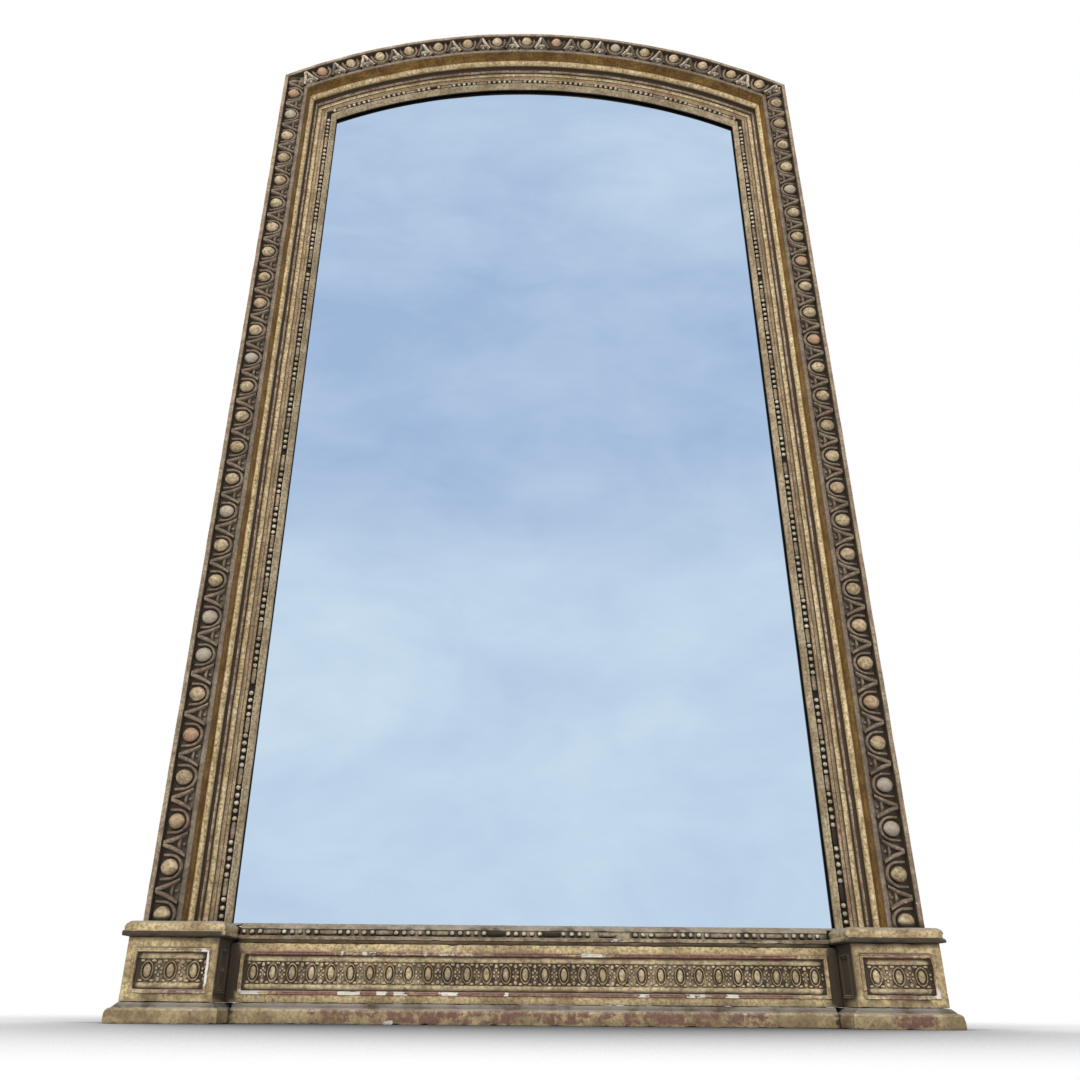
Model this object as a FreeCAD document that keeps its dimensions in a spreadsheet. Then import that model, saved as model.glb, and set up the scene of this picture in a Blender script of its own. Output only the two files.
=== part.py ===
import FreeCAD, Part
import Sketcher
import math
import os
import re

# A gilded overmantel mirror with a segmental arched top. Two stiles and an arch rail of one
# moulding meet at mitred corners, and stand on a base of two pedestals with a plinth between.
# Millimetres. X to the right, Y to the back, Z up; the origin is on the floor, midway
# across the width and the depth. "depth" is measured back from the outer lip's front, and
# "in" is measured across the moulding from the frame's outer edge towards the glass.

SIZES = [
    ("frame_width", 980, "across the stiles, outer lip to outer lip"),
    ("stile_height", 1541, "pedestal cap to the outer corner of the mitre"),
    ("arch_rise", 135, "outer corner to the crown of the arch"),
    ("frame_depth", 85, "outer lip to the back"),
    # the frame moulding, from the outer edge inwards
    ("lip_width", 7, "outer lip"),
    ("quirk_width", 2, "dark quirk between the lip and the egg run"),
    ("run_width", 29, "bed of the egg and dart run"),
    ("fillet_width", 8, "fillet inside the egg run"),
    ("cove_width", 1, "run of the steep wall under the fillet"),
    ("roll_width", 8, "gilt roll, across"),
    ("worn_fascia_width", 6, "sloping fascia under the roll"),
    ("gold_fascia_width", 19, "broad fascia"),
    ("bead_run_width", 8, "bead and bar run"),
    ("sight_lip_width", 7, "sloping lip at the glass"),
    ("run_bed_depth", 12, "bed of the egg run"),
    ("fillet_depth", 7, "face of the fillet"),
    ("cove_foot_depth", 26, "foot of the steep wall"),
    ("roll_foot_depth", 39, "foot of the roll"),
    ("roll_shoulder_width", 5.9, "roll's shoulder, in from the steep wall"),
    ("roll_shoulder_fall", 1.7, "the same, under the steep wall's foot"),
    ("roll_nose_width", 9.2, "roll's fullest point, in from the steep wall"),
    ("roll_nose_fall", 7, "the same, under the steep wall's foot"),
    ("fascia_valley_depth", 48, "lowest line of the fascias"),
    ("fascia_front_depth", 46, "inner edge of the broad fascia"),
    ("bead_seat_depth", 48, "seat of the bead run"),
    ("sight_edge_depth", 54.5, "front of the sight edge"),
    ("glass_seat_depth", 57.5, "face that the glass bears on"),
    ("board_seat_depth", 71, "face that the backboards bear on"),
    ("glass_rebate_width", 12, "glass rebate, in from the sight edge"),
    ("board_rebate_width", 21, "backboard rebate, in from the glass rebate"),
    ("mitre_overcut", 10, "how far a mitre's cut runs past the moulding's faces"),
    # egg and dart
    ("egg_pitch", 57, "eggs on a stile, centre to centre, before evening out"),
    ("arch_egg_pitch", 59.5, "eggs on the arch, centre to centre"),
    ("arch_egg_margin", 30, "corner leaf at each end of the arch run"),
    ("first_egg_height", 8, "centre of the lowest egg above the cap"),
    ("egg_width", 22, "egg, along the run"),
    ("egg_length", 24, "egg, across the run"),
    ("egg_inset", 3, "outer end of the egg from the edge of the run"),
    ("egg_shoulder_rise", 5, "lower tier of the egg above the ground"),
    ("egg_crown_rise", 5, "upper tier above the lower one"),
    ("egg_shoulder_taper", 10, "draft of the lower tier, in degrees"),
    ("egg_crown_taper", 28, "draft of the upper tier, in degrees"),
    ("egg_crown_share", 0.88, "upper tier's foot as a share of the egg's outline"),
    ("run_ground_depth", 6, "ground that the eggs and darts stand on"),
    ("dart_width", 16, "dart, at its foot"),
    ("dart_point_width", 6, "dart, at its point"),
    ("dart_length", 24, "dart, across the run"),
    ("dart_face_depth", 0.5, "face of the dart"),
    ("ornament_taper", 22, "draft of the other pressed ornament, in degrees"),
    # bead and bar
    ("bead_width", 7, "bead across its flats"),
    ("bead_pitch", 10.3, "beads of one group, centre to centre"),
    ("beads_in_group", 5, "beads between two bars"),
    ("bead_group_pitch", 72, "groups, centre to centre"),
    ("bead_bar_length", 17, "plain bar between two groups"),
    ("bead_bar_width", 4, "plain bar, across"),
    ("bead_strip_thickness", 1.5, "ground of the bead run"),
    ("bead_rise", 3, "bead above its ground"),
    # base
    ("base_slab_height", 23, "base moulding"),
    ("base_slab_projection", 11, "base moulding beyond the dado"),
    ("base_cove_height", 6, "dished top of the base moulding"),
    ("base_cove_foot", 1, "upright step at the foot of the dished top"),
    ("base_slab_rounding", 5, "round of the base moulding's nose"),
    ("dado_height", 72, "pedestal between base moulding and cap"),
    ("cap_height", 18, "pedestal cap"),
    ("cap_projection", 7, "cap beyond the dado"),
    ("cap_rounding", 7, "round of the cap's upper edge"),
    ("pedestal_width", 111.5, "dado of a pedestal, across"),
    ("pedestal_overhang", 8, "dado beyond the frame's outer lip"),
    ("pedestal_projection", 15, "dado in front of the outer lip"),
    ("plinth_depth", 38, "face of the plinth behind the outer lip"),
    ("groove_height", 4.5, "dark groove over the plinth"),
    ("groove_lap", 1, "groove above the pedestal's dado"),
    ("groove_depth", 6, "groove behind the plinth's face"),
    ("light_fillet_height", 4, "fillet over the groove"),
    ("light_fillet_setback", 2, "the same, behind the plinth's face"),
    ("sight_cover", 3, "bottom sight lip above the ledge of the glass"),
    # framed panels of the base
    ("panel_margin", 9, "flat of the dado round a panel moulding"),
    ("plinth_panel_margin", 14, "flat at each end of the plinth"),
    ("panel_moulding_width", 5, "panel moulding, across"),
    ("panel_moulding_rise", 2, "panel moulding above the dado"),
    ("panel_sink", 5, "sunk panel below the dado"),
    ("frieze_thickness", 2, "ground of a frieze"),
    ("frieze_band_width", 7, "plain band along each edge of a frieze"),
    ("frieze_band_rise", 1, "plain band above the ground"),
    ("frieze_egg_pitch", 24, "eggs of a frieze, centre to centre"),
    ("frieze_egg_width", 13, "egg of a frieze, along it"),
    ("frieze_egg_height", 19, "egg of a frieze, up it"),
    ("frieze_egg_rise", 2, "egg of a frieze above the ground"),
    # glass and back
    ("glass_thickness", 4, "mirror plate"),
    ("glass_clearance", 2, "round the mirror plate"),
    ("glass_air", 0.3, "between the plate and the face it bears on"),
    ("board_thickness", 14, "backboards"),
    ("board_count", 6, "backboards, laid across"),
    ("board_gap", 1, "between backboards, and at their ends"),
    ("block_length", 60, "softwood blocks behind the plate's edge"),
    ("block_width", 11, "the same, across"),
    ("block_clearance", 0.8, "a straight block's middle from the arch's rebate"),
    ("blocks_per_stile", 5, "blocks up each side"),
    ("blocks_across", 3, "blocks along the bottom and along the arch"),
    ("stile_block_share", 0.95, "share of a stile's height that its blocks are spread over"),
    ("arch_block_spread", 48, "turn that the arch's blocks are spread over, in degrees"),
    ("key_length", 64, "slip let in across each mitre at the back"),
    ("key_width", 22, "the same, across"),
    ("key_thickness", 7, "the same, front to back"),
    ("key_in", 32, "middle of the slip, in from the outer edge"),
    ("tenon_width", 44, "loose tenon that locates a stile on its pedestal, across"),
    ("tenon_thickness", 12, "the same, front to back"),
    ("tenon_length", 70, "the same, half of it in the stile"),
    ("tenon_depth_place", 60, "middle of a tenon behind the outer lip"),
    ("tenon_in", 34, "middle of a tenon, in from the outer edge"),
    ("tenon_clearance", 0.2, "round a tenon and past its ends"),
]

WORKED_OUT = [
    ("half_width", "frame_width / 2"),
    ("cap_top", "base_slab_height + dado_height + cap_height"),
    ("corner_height", "cap_top + stile_height"),
    ("arch_radius", "(half_width * half_width + arch_rise * arch_rise) / (2 * arch_rise)"),
    ("arch_centre", "corner_height + arch_rise - arch_radius"),
    ("corner_drop", "corner_height - arch_centre"),
    ("base_projection", "pedestal_projection + base_slab_projection"),
    ("lip_y", "(base_projection - frame_depth) / 2"),
    ("run_in", "lip_width + quirk_width"),
    ("fillet_in", "run_in + run_width"),
    ("cove_in", "fillet_in + fillet_width"),
    ("roll_in", "cove_in + cove_width"),
    ("worn_fascia_in", "roll_in + roll_width"),
    ("gold_fascia_in", "worn_fascia_in + worn_fascia_width"),
    ("bead_run_in", "gold_fascia_in + gold_fascia_width"),
    ("sight_lip_in", "bead_run_in + bead_run_width"),
    ("moulding_width", "sight_lip_in + sight_lip_width"),
    ("glass_rebate_in", "moulding_width - glass_rebate_width"),
    ("board_rebate_in", "glass_rebate_in - board_rebate_width"),
    ("sight_radius", "arch_radius - moulding_width"),
    ("sight_half_width", "half_width - moulding_width"),
    ("mitre_fall", "corner_drop - sqrt(sight_radius ^ 2 - sight_half_width ^ 2)"),
    ("mitre_slope", "mitre_fall / moulding_width"),
    ("pedestal_outer", "half_width + pedestal_overhang"),
    ("pedestal_inner", "pedestal_outer - pedestal_width"),
    ("cap_inner", "pedestal_inner - cap_projection"),
    ("base_inner", "pedestal_inner - base_slab_projection"),
    ("dado_top", "base_slab_height + dado_height"),
    ("rail_foot", "dado_top - groove_height + groove_lap"),
    ("plinth_height", "rail_foot - base_slab_height"),
    ("panel_height", "plinth_height - 2 * panel_margin"),
    ("recess_height", "panel_height - 2 * panel_moulding_width"),
    ("panel_foot", "base_slab_height + panel_margin"),
    ("recess_foot", "panel_foot + panel_moulding_width"),
    ("plinth_panel_half", "pedestal_inner - plinth_panel_margin"),
    ("pedestal_centre", "(pedestal_outer + pedestal_inner) / 2"),
    ("pedestal_panel_half", "pedestal_width / 2 - panel_margin"),
    ("egg_step", "stile_height / round(stile_height / egg_pitch)"),
    ("egg_circle", "arch_radius - run_in - run_width / 2"),
    ("egg_arc", "asin((half_width - run_in - run_width / 2) / egg_circle) / 1 deg * pi / 90 * egg_circle"),
    ("arch_eggs", "floor((egg_arc - 2 * arch_egg_margin) / arch_egg_pitch) + 1"),
    ("arch_egg_turn", "arch_egg_pitch / egg_circle * 180 / pi"),
    ("bead_in", "bead_run_in + bead_run_width / 2"),
    ("bead_circle", "arch_radius - bead_in"),
    ("bead_ridge_length", "(beads_in_group - 1) * bead_pitch + bead_width"),
    ("bead_face_depth", "bead_seat_depth - bead_strip_thickness"),
    ("bead_arc", "asin((half_width - bead_in) / bead_circle) / 1 deg * pi / 90 * bead_circle"),
    ("stile_bead_length", "stile_height - bead_in * mitre_slope"),
    ("stile_bead_groups", "floor(stile_bead_length / bead_group_pitch)"),
    ("arch_bead_groups", "floor(bead_arc / bead_group_pitch)"),
    ("arch_bead_turn", "bead_group_pitch / bead_circle * 180 / pi"),
    ("rail_bead_groups", "floor(2 * cap_inner / bead_group_pitch)"),
    ("bead_line_height", "cap_top + sight_cover - sight_lip_width - bead_run_width / 2"),
    ("glass_front_depth", "glass_seat_depth + glass_air"),
    ("glass_back_depth", "glass_front_depth + glass_thickness"),
    ("glass_half_width", "half_width - glass_rebate_in - glass_clearance"),
    ("glass_radius", "arch_radius - glass_rebate_in - glass_clearance"),
    ("board_half_width", "half_width - board_rebate_in - board_gap"),
    ("board_radius", "arch_radius - board_rebate_in - board_gap"),
    ("boards_foot", "cap_top + board_gap"),
    ("board_pitch", "(arch_centre + board_radius + board_gap - boards_foot) / board_count"),
    ("block_thickness", "board_seat_depth - glass_back_depth - glass_air"),
    ("block_circle", "arch_radius - glass_rebate_in - block_clearance - block_width / 2"),
]

ALIASES = {row[0] for row in SIZES + WORKED_OUT}
NODES = []
SAME_PLACE = 1e-4
LEAST_CUT = 1e-3

doc = FreeCAD.newDocument("OvermantelMirror")
sheet = doc.addObject("Spreadsheet::Sheet", "Sizes")


def fill_sheet():
    """Driving sizes as plain numbers, then the sizes worked out from them."""
    for row, (alias, number, note) in enumerate(SIZES, start=1):
        sheet.set("A%d" % row, alias)
        sheet.set("B%d" % row, str(number))
        sheet.setAlias("B%d" % row, alias)
        sheet.set("C%d" % row, note)
    for row, (alias, formula) in enumerate(WORKED_OUT, start=len(SIZES) + 2):
        sheet.set("A%d" % row, alias)
        sheet.set("B%d" % row, "=" + formula)
        sheet.setAlias("B%d" % row, alias)
    doc.recompute()


def named(formula):
    """The formula with every size read from the sheet."""
    return re.sub(r"[a-z_]+", lambda m: "Sizes." + m.group() if m.group() in ALIASES else m.group(), formula)


def size(formula):
    return float(sheet.evalExpression(formula))


def bind(thing, prop, formula):
    thing.setExpression(prop, named(formula))


# ---- bodies, sketches and features ---------------------------------------------------------


def new_body(label, x="0", y="lip_y", z="0"):
    """A labelled piece whose own origin stands at x, y, z."""
    body = doc.addObject("PartDesign::Body", label)
    body.Label = label
    for axis, formula in (("x", x), ("y", y), ("z", z)):
        bind(body, "Placement.Base." + axis, formula)
    NODES.append(body)
    return body


def origin_part(body, role):
    return next(f for f in body.Origin.OriginFeatures if f.Role == role)


def new_sketch(body, plane, name, offset="0", turn=None):
    """A sketch on one of the body's planes, moved out by offset. turn swings it about the
    body's Y axis, clockwise seen from the front, in degrees."""
    sketch = body.newObject("Sketcher::SketchObject", body.Label + "_" + name)
    sketch.AttachmentSupport = (origin_part(body, plane), [""])
    sketch.MapMode = "FlatFace"
    if turn and plane == "XY_Plane":
        axis = FreeCAD.Vector(0, 1, 0)
        sketch.AttachmentOffset = FreeCAD.Placement(FreeCAD.Vector(), FreeCAD.Rotation(axis, size(turn)))
        bind(sketch, "AttachmentOffset.Base.x", "(%s) * sin(%s)" % (offset, turn))
        bind(sketch, "AttachmentOffset.Base.z", "(%s) * cos(%s)" % (offset, turn))
        bind(sketch, "AttachmentOffset.Rotation.Angle", turn)
        return sketch
    if turn:
        axis = FreeCAD.Vector(0, 0, -1)
        sketch.AttachmentOffset = FreeCAD.Placement(FreeCAD.Vector(), FreeCAD.Rotation(axis, size(turn)))
        bind(sketch, "AttachmentOffset.Rotation.Angle", turn)
    bind(sketch, "AttachmentOffset.Base.z", offset)
    return sketch


def arc_edge(start, end, radius, side):
    """An arc from start to end that bulges to the left (side 1) or right (-1) of the way."""
    chord = end - start
    half = chord.Length / 2
    reach = math.sqrt(max(radius * radius - half * half, 0.0))
    left = FreeCAD.Vector(-chord.y, chord.x, 0) / chord.Length
    centre = (start + end) / 2 - left * (reach * side)
    middle = centre + left * (radius * side)
    return Part.Arc(start, middle, end)


def draw(sketch, corners, flip=1):
    """A closed outline. Each corner is a pair of formulas, pinned to the origin by two
    dimensions; a third and fourth item make the edge that leaves it an arc of that radius,
    bulging to the left (1) or right (-1). flip of -1 mirrors it left to right."""
    sign = "-1 * " if flip < 0 else ""
    places = [(sign + "(" + c[0] + ")", c[1]) for c in corners]
    points = [FreeCAD.Vector(size(x), size(y), 0) for x, y in places]
    starts = []
    ends = []
    for i, corner in enumerate(corners):
        here, there = points[i], points[(i + 1) % len(points)]
        if len(corner) > 2:
            edge = arc_edge(here, there, size(corner[2]), corner[3] * flip)
            index = sketch.addGeometry(edge, False)
            forwards = sketch.getPoint(index, 1).distanceToPoint(here) < SAME_PLACE
            starts.append((index, 1 if forwards else 2))
            ends.append((index, 2 if forwards else 1))
            radius = sketch.addConstraint(Sketcher.Constraint("Radius", index, size(corner[2])))
            bind(sketch, "Constraints[%d]" % radius, corner[2])
        else:
            index = sketch.addGeometry(Part.LineSegment(here, there), False)
            starts.append((index, 1))
            ends.append((index, 2))
    for i in range(len(corners)):
        sketch.addConstraint(Sketcher.Constraint("Coincident", *ends[i - 1], *starts[i]))
    for i, (x, y) in enumerate(places):
        for kind, formula in (("DistanceX", x), ("DistanceY", y)):
            pin = sketch.addConstraint(Sketcher.Constraint(kind, *starts[i], size(formula)))
            bind(sketch, "Constraints[%d]" % pin, formula)


def box_corners(x, y, width, height):
    """A rectangle from its lower left corner."""
    right = x + " + " + width
    top = y + " + " + height
    return [(x, y), (right, y), (right, top), (x, top)]


def ring_corners(x, y, width, height, sides):
    """A polygon of so many sides on an ellipse about x, y."""
    corners = []
    for i in range(sides):
        turn = math.tau * (i + 0.5) / sides
        corners.append((
            "%s + %s / 2 * %.5f" % (x, width, math.cos(turn)),
            "%s + %s / 2 * %.5f" % (y, height, math.sin(turn)),
        ))
    return corners


def pad(body, sketch, length, middle=False, back=False, taper=None):
    feature = body.newObject("PartDesign::Pad", sketch.Label + "_pad")
    feature.Profile = sketch
    bind(feature, "Length", length)
    if middle:
        feature.SideType = "Symmetric"
    feature.Reversed = back
    feature.Refine = False
    if taper:
        bind(feature, "TaperAngle", taper)
    return feature


def pocket(body, sketch, length=None, back=False):
    """A pocket of a stated depth, or right through both ways."""
    feature = body.newObject("PartDesign::Pocket", sketch.Label + "_cut")
    feature.Profile = sketch
    feature.Reversed = back
    feature.Refine = False
    if length:
        bind(feature, "Length", length)
    else:
        feature.Type = "ThroughAll"
        feature.SideType = "Symmetric"
    return feature


def linear_pattern(body, features, axis, length, count):
    pattern = body.newObject("PartDesign::LinearPattern", features[0].Label + "_row")
    pattern.Originals = features
    pattern.Direction = (origin_part(body, axis), [""])
    pattern.Refine = False
    bind(pattern, "Length", length)
    bind(pattern, "Occurrences", count)
    body.Tip = pattern
    return pattern


def polar_pattern(body, features, angle, count):
    pattern = body.newObject("PartDesign::PolarPattern", features[0].Label + "_fan")
    pattern.Originals = features
    pattern.Axis = (origin_part(body, "Y_Axis"), [""])
    pattern.Refine = False
    bind(pattern, "Angle", angle)
    bind(pattern, "Occurrences", count)
    body.Tip = pattern
    return pattern


def must_change(body, before, what):
    """A cut that points away from its piece removes nothing and shows no error."""
    doc.recompute()
    if abs(body.Shape.Volume - before) < LEAST_CUT:
        raise RuntimeError(body.Label + ": " + what + " changed nothing")


def cut(body, sketch, length=None, back=False):
    doc.recompute()
    before = body.Shape.Volume
    feature = pocket(body, sketch, length, back)
    must_change(body, before, sketch.Label)
    return feature


# ---- the frame moulding ------------------------------------------------------------------


def rail_section(in_first):
    """The moulding's section: (in, depth) for a stile, or (depth, radius) for the arch."""
    section = [
        ("0", "0"),
        ("lip_width", "0"),
        ("lip_width", "run_bed_depth"),
        ("fillet_in", "run_bed_depth"),
        ("fillet_in", "fillet_depth"),
        ("cove_in", "fillet_depth"),
        ("roll_in", "cove_foot_depth"),
        ("roll_in + roll_shoulder_width", "cove_foot_depth + roll_shoulder_fall"),
        ("roll_in + roll_nose_width", "cove_foot_depth + roll_nose_fall"),
        ("worn_fascia_in", "roll_foot_depth"),
        ("gold_fascia_in", "fascia_valley_depth"),
        ("bead_run_in", "fascia_front_depth"),
        ("bead_run_in", "bead_seat_depth"),
        ("sight_lip_in", "bead_seat_depth"),
        ("sight_lip_in", "fascia_front_depth"),
        ("moulding_width", "sight_edge_depth"),
        ("moulding_width", "glass_seat_depth"),
        ("glass_rebate_in", "glass_seat_depth"),
        ("glass_rebate_in", "board_seat_depth"),
        ("board_rebate_in", "board_seat_depth"),
        ("board_rebate_in", "frame_depth"),
        ("0", "frame_depth"),
    ]
    return turned_section(section, in_first)


def turned_section(section, in_first):
    """A section of (in, depth) corners as it is, or as (depth, radius) for the arch."""
    if in_first:
        return section
    return [(depth, "arch_radius - (" + inwards + ")") for inwards, depth in section]


def mitre_stile(body, hand):
    """Cuts a stile's piece along the mitre; hand is 1 on the left and -1 on the right."""
    corners = [
        ("-mitre_overcut", "stile_height + mitre_overcut * mitre_slope"),
        ("moulding_width + mitre_overcut", "stile_height - (moulding_width + mitre_overcut) * mitre_slope"),
        ("moulding_width + mitre_overcut", "stile_height + 2 * mitre_overcut"),
    ]
    sketch = new_sketch(body, "XZ_Plane", "mitre")
    draw(sketch, corners, hand)
    cut(body, sketch)


def mitre_arch(body):
    """Cuts both ends of an arch piece along the mitres."""
    for name, flip in (("left_mitre", 1), ("right_mitre", -1)):
        corners = [
            ("-half_width - mitre_overcut", "corner_drop + mitre_overcut * mitre_slope"),
            ("mitre_overcut - sight_half_width", "corner_drop - (moulding_width + mitre_overcut) * mitre_slope"),
            ("-half_width - mitre_overcut", "corner_drop - 4 * moulding_width"),
        ]
        sketch = new_sketch(body, "XZ_Plane", name)
        draw(sketch, corners, flip)
        cut(body, sketch)


def sweep_arch(body, sketch):
    """Turns a section about the arch's centre, evenly to both sides of the crown."""
    feature = body.newObject("PartDesign::Revolution", sketch.Label + "_turn")
    feature.Profile = sketch
    feature.ReferenceAxis = (origin_part(body, "Y_Axis"), [""])
    bind(feature, "Angle", "2 * asin(half_width / arch_radius)")
    feature.Midplane = True
    return feature


def stile_body(label, hand):
    return new_body(label, "-half_width" if hand > 0 else "half_width", "lip_y", "cap_top")


def arch_body(label):
    return new_body(label, "0", "lip_y", "arch_centre")


def key_outline(sketch, x, z, tilt):
    """The slip across a mitre, square to it; x, z is its middle."""
    corners = []
    for along, across in ((-1, -1), (1, -1), (1, 1), (-1, 1)):
        # along the slip is at right angles to the mitre line, whose angle is tilt
        corners.append((
            "%s + %d * key_length / 2 * sin(%s) * %d + %d * key_width / 2 * cos(%s)"
            % (x[0], along, tilt, x[1], across, tilt),
            "%s + %d * key_length / 2 * cos(%s) - %d * key_width / 2 * sin(%s) * %d"
            % (z, along, tilt, across, tilt, x[1]),
        ))
    draw(sketch, corners)


def make_stiles():
    for label, hand in (("left_stile", 1), ("right_stile", -1)):
        body = stile_body(label, hand)
        section = new_sketch(body, "XY_Plane", "section")
        draw(section, rail_section(True), hand)
        pad(body, section, "stile_height")
        mitre_stile(body, hand)
        middle = ("%d * key_in" % hand, hand)
        slip = new_sketch(body, "XZ_Plane", "key_seat", "-frame_depth")
        key_outline(slip, middle, "stile_height - key_in * mitre_slope", "atan(mitre_slope)")
        cut(body, slip, "key_thickness", back=True)
        mortise = new_sketch(body, "XY_Plane", "mortise")
        draw(mortise, tenon_corners("tenon_in", "tenon_clearance"), hand)
        cut(body, mortise, "tenon_length / 2 + tenon_clearance", back=True)


def make_arch_rail():
    body = arch_body("arch_rail")
    section = new_sketch(body, "YZ_Plane", "section")
    draw(section, rail_section(False))
    sweep_arch(body, section)
    mitre_arch(body)
    for name, side in (("left_key_seat", 1), ("right_key_seat", -1)):
        slip = new_sketch(body, "XZ_Plane", name, "-frame_depth")
        middle = ("%d * (key_in - half_width)" % side, side)
        key_outline(slip, middle, "corner_drop - key_in * mitre_slope", "atan(mitre_slope)")
        cut(body, slip, "key_thickness", back=True)


def make_mitre_keys():
    for label, hand in (("left_mitre_key", 1), ("right_mitre_key", -1)):
        body = stile_body(label, hand)
        slip = new_sketch(body, "XZ_Plane", "outline", "-frame_depth")
        middle = ("%d * key_in" % hand, hand)
        key_outline(slip, middle, "stile_height - key_in * mitre_slope", "atan(mitre_slope)")
        pad(body, slip, "key_thickness")


# ---- egg and dart --------------------------------------------------------------------------

# the dart's two ends, in from the outer edge
DART_POINT = "run_in + (run_width - dart_length) / 2"
DART_FOOT = DART_POINT + " + dart_length"

# half an egg's outline: how far along its length, and the share of its full width there,
# round at the outer end and drawn in towards the glass
EGG_STATIONS = [(0.0, 0.50), (0.18, 0.88), (0.45, 1.0), (1.0, 0.36)]
EGG_WAIST = 0.45
EGG_GROUND = box_corners("run_in", "run_ground_depth", "run_width", "run_bed_depth - run_ground_depth")


def egg_outline(middle, share="1"):
    """An egg in plan, (in, along), drawn in by the share about its widest point."""
    halves = []
    for side in (-1, 1):
        halves.append([(
            "run_in + egg_inset + egg_length * (%.2f + (%s) * %.2f)" % (EGG_WAIST, share, place - EGG_WAIST),
            "%s + %d * (%s) * egg_width / 2 * %.2f" % (middle, side, share, width),
        ) for place, width in EGG_STATIONS])
    return halves[0] + halves[1][::-1]


def egg_tiers(body, middle, place, flip=1, turn=None):
    """The egg's two tapered tiers. place turns (in, along) into the sketch's own pair."""
    tiers = (
        ("egg_shoulder", "1", "-run_ground_depth", "egg_shoulder_rise", "-egg_shoulder_taper"),
        ("egg_crown", "egg_crown_share", "egg_shoulder_rise - run_ground_depth", "egg_crown_rise",
         "-egg_crown_taper"),
    )
    features = []
    for name, share, offset, rise, taper in tiers:
        sketch = new_sketch(body, "XZ_Plane", name, offset, turn)
        draw(sketch, [place(x, y) for x, y in egg_outline(middle, share)], flip)
        features.append(pad(body, sketch, rise, taper=taper))
    return features


def stile_ornament(body, hand):
    eggs = "stile_height / egg_step"
    tiers = egg_tiers(body, "first_egg_height", lambda inwards, along: (inwards, along), hand)
    linear_pattern(body, tiers, "Z_Axis", "stile_height - egg_step", eggs)
    outline = new_sketch(body, "XZ_Plane", "dart_outline", "-run_ground_depth")
    draw(outline, dart_corners(DART_POINT, DART_FOOT, "first_egg_height + egg_step / 2"), hand)
    dart = pad(body, outline, "run_ground_depth - dart_face_depth", taper="-ornament_taper")
    linear_pattern(body, [dart], "Z_Axis", "stile_height - 2 * egg_step", eggs + " - 1")


def arch_ornament(body):
    def on_arch(inwards, along):
        return along, "arch_radius - (" + inwards + ")"

    start = "-(arch_eggs - 1) / 2 * arch_egg_turn"
    tiers = egg_tiers(body, "0", on_arch, turn=start)
    polar_pattern(body, tiers, "(arch_eggs - 1) * arch_egg_turn", "arch_eggs")
    start = "-arch_eggs / 2 * arch_egg_turn"
    outline = new_sketch(body, "XZ_Plane", "dart_outline", "-run_ground_depth", start)
    draw(outline, [on_arch(inwards, along) for inwards, along in dart_corners(DART_POINT, DART_FOOT, "0")])
    dart = pad(body, outline, "run_ground_depth - dart_face_depth", taper="-ornament_taper")
    polar_pattern(body, [dart], "arch_eggs * arch_egg_turn", "arch_eggs + 1")


def dart_corners(point, foot, middle):
    return [
        (point, middle + " - dart_point_width / 2"),
        (foot, middle + " - dart_width / 2"),
        (foot, middle + " + dart_width / 2"),
        (point, middle + " + dart_point_width / 2"),
    ]


def make_stile_egg_runs():
    for label, hand in (("left_egg_and_dart", 1), ("right_egg_and_dart", -1)):
        body = stile_body(label, hand)
        section = new_sketch(body, "XY_Plane", "section")
        draw(section, turned_section(EGG_GROUND, True), hand)
        pad(body, section, "stile_height")
        mitre_stile(body, hand)
        stile_ornament(body, hand)
        foot = new_sketch(body, "XZ_Plane", "foot_trim")
        draw(foot, box_corners("0", "-egg_width", "moulding_width", "egg_width"), hand)
        cut(body, foot)


def make_arch_egg_run():
    body = arch_body("arch_egg_and_dart")
    section = new_sketch(body, "YZ_Plane", "section")
    draw(section, turned_section(EGG_GROUND, False))
    sweep_arch(body, section)
    mitre_arch(body)
    arch_ornament(body)


# ---- bead and bar --------------------------------------------------------------------------


def bead_group(sketch, across, along, place):
    """The ridge of one group of beads about its middle, and the bar after it. place turns
    (across, along) into the sketch's own pair."""
    ridge = box_corners(
        across + " - bead_width / 2", along + " - bead_ridge_length / 2",
        "bead_width", "bead_ridge_length")
    bar = box_corners(
        across + " - bead_bar_width / 2", along + " + (bead_group_pitch - bead_bar_length) / 2",
        "bead_bar_width", "bead_bar_length")
    for corners in (ridge, bar):
        draw(sketch, [place(x, y) for x, y in corners])


def make_stile_bead_runs():
    for label, hand in (("left_bead_run", 1), ("right_bead_run", -1)):
        body = stile_body(label, hand)
        ground = new_sketch(body, "XY_Plane", "ground")
        draw(ground, box_corners(
            "bead_run_in", "bead_seat_depth - bead_strip_thickness",
            "bead_run_width", "bead_strip_thickness"), hand)
        pad(body, ground, "stile_height")
        mitre_stile(body, hand)
        beads = new_sketch(body, "XZ_Plane", "beads", "-bead_face_depth")
        first = "(stile_bead_length - (stile_bead_groups - 1) * bead_group_pitch) / 2"
        bead_group(beads, "%d * bead_in" % hand, first, lambda x, y: (x, y))
        group = pad(body, beads, "bead_rise", taper="-ornament_taper")
        length = "(stile_bead_groups - 1) * bead_group_pitch"
        linear_pattern(body, [group], "Z_Axis", length, "stile_bead_groups")


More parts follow.
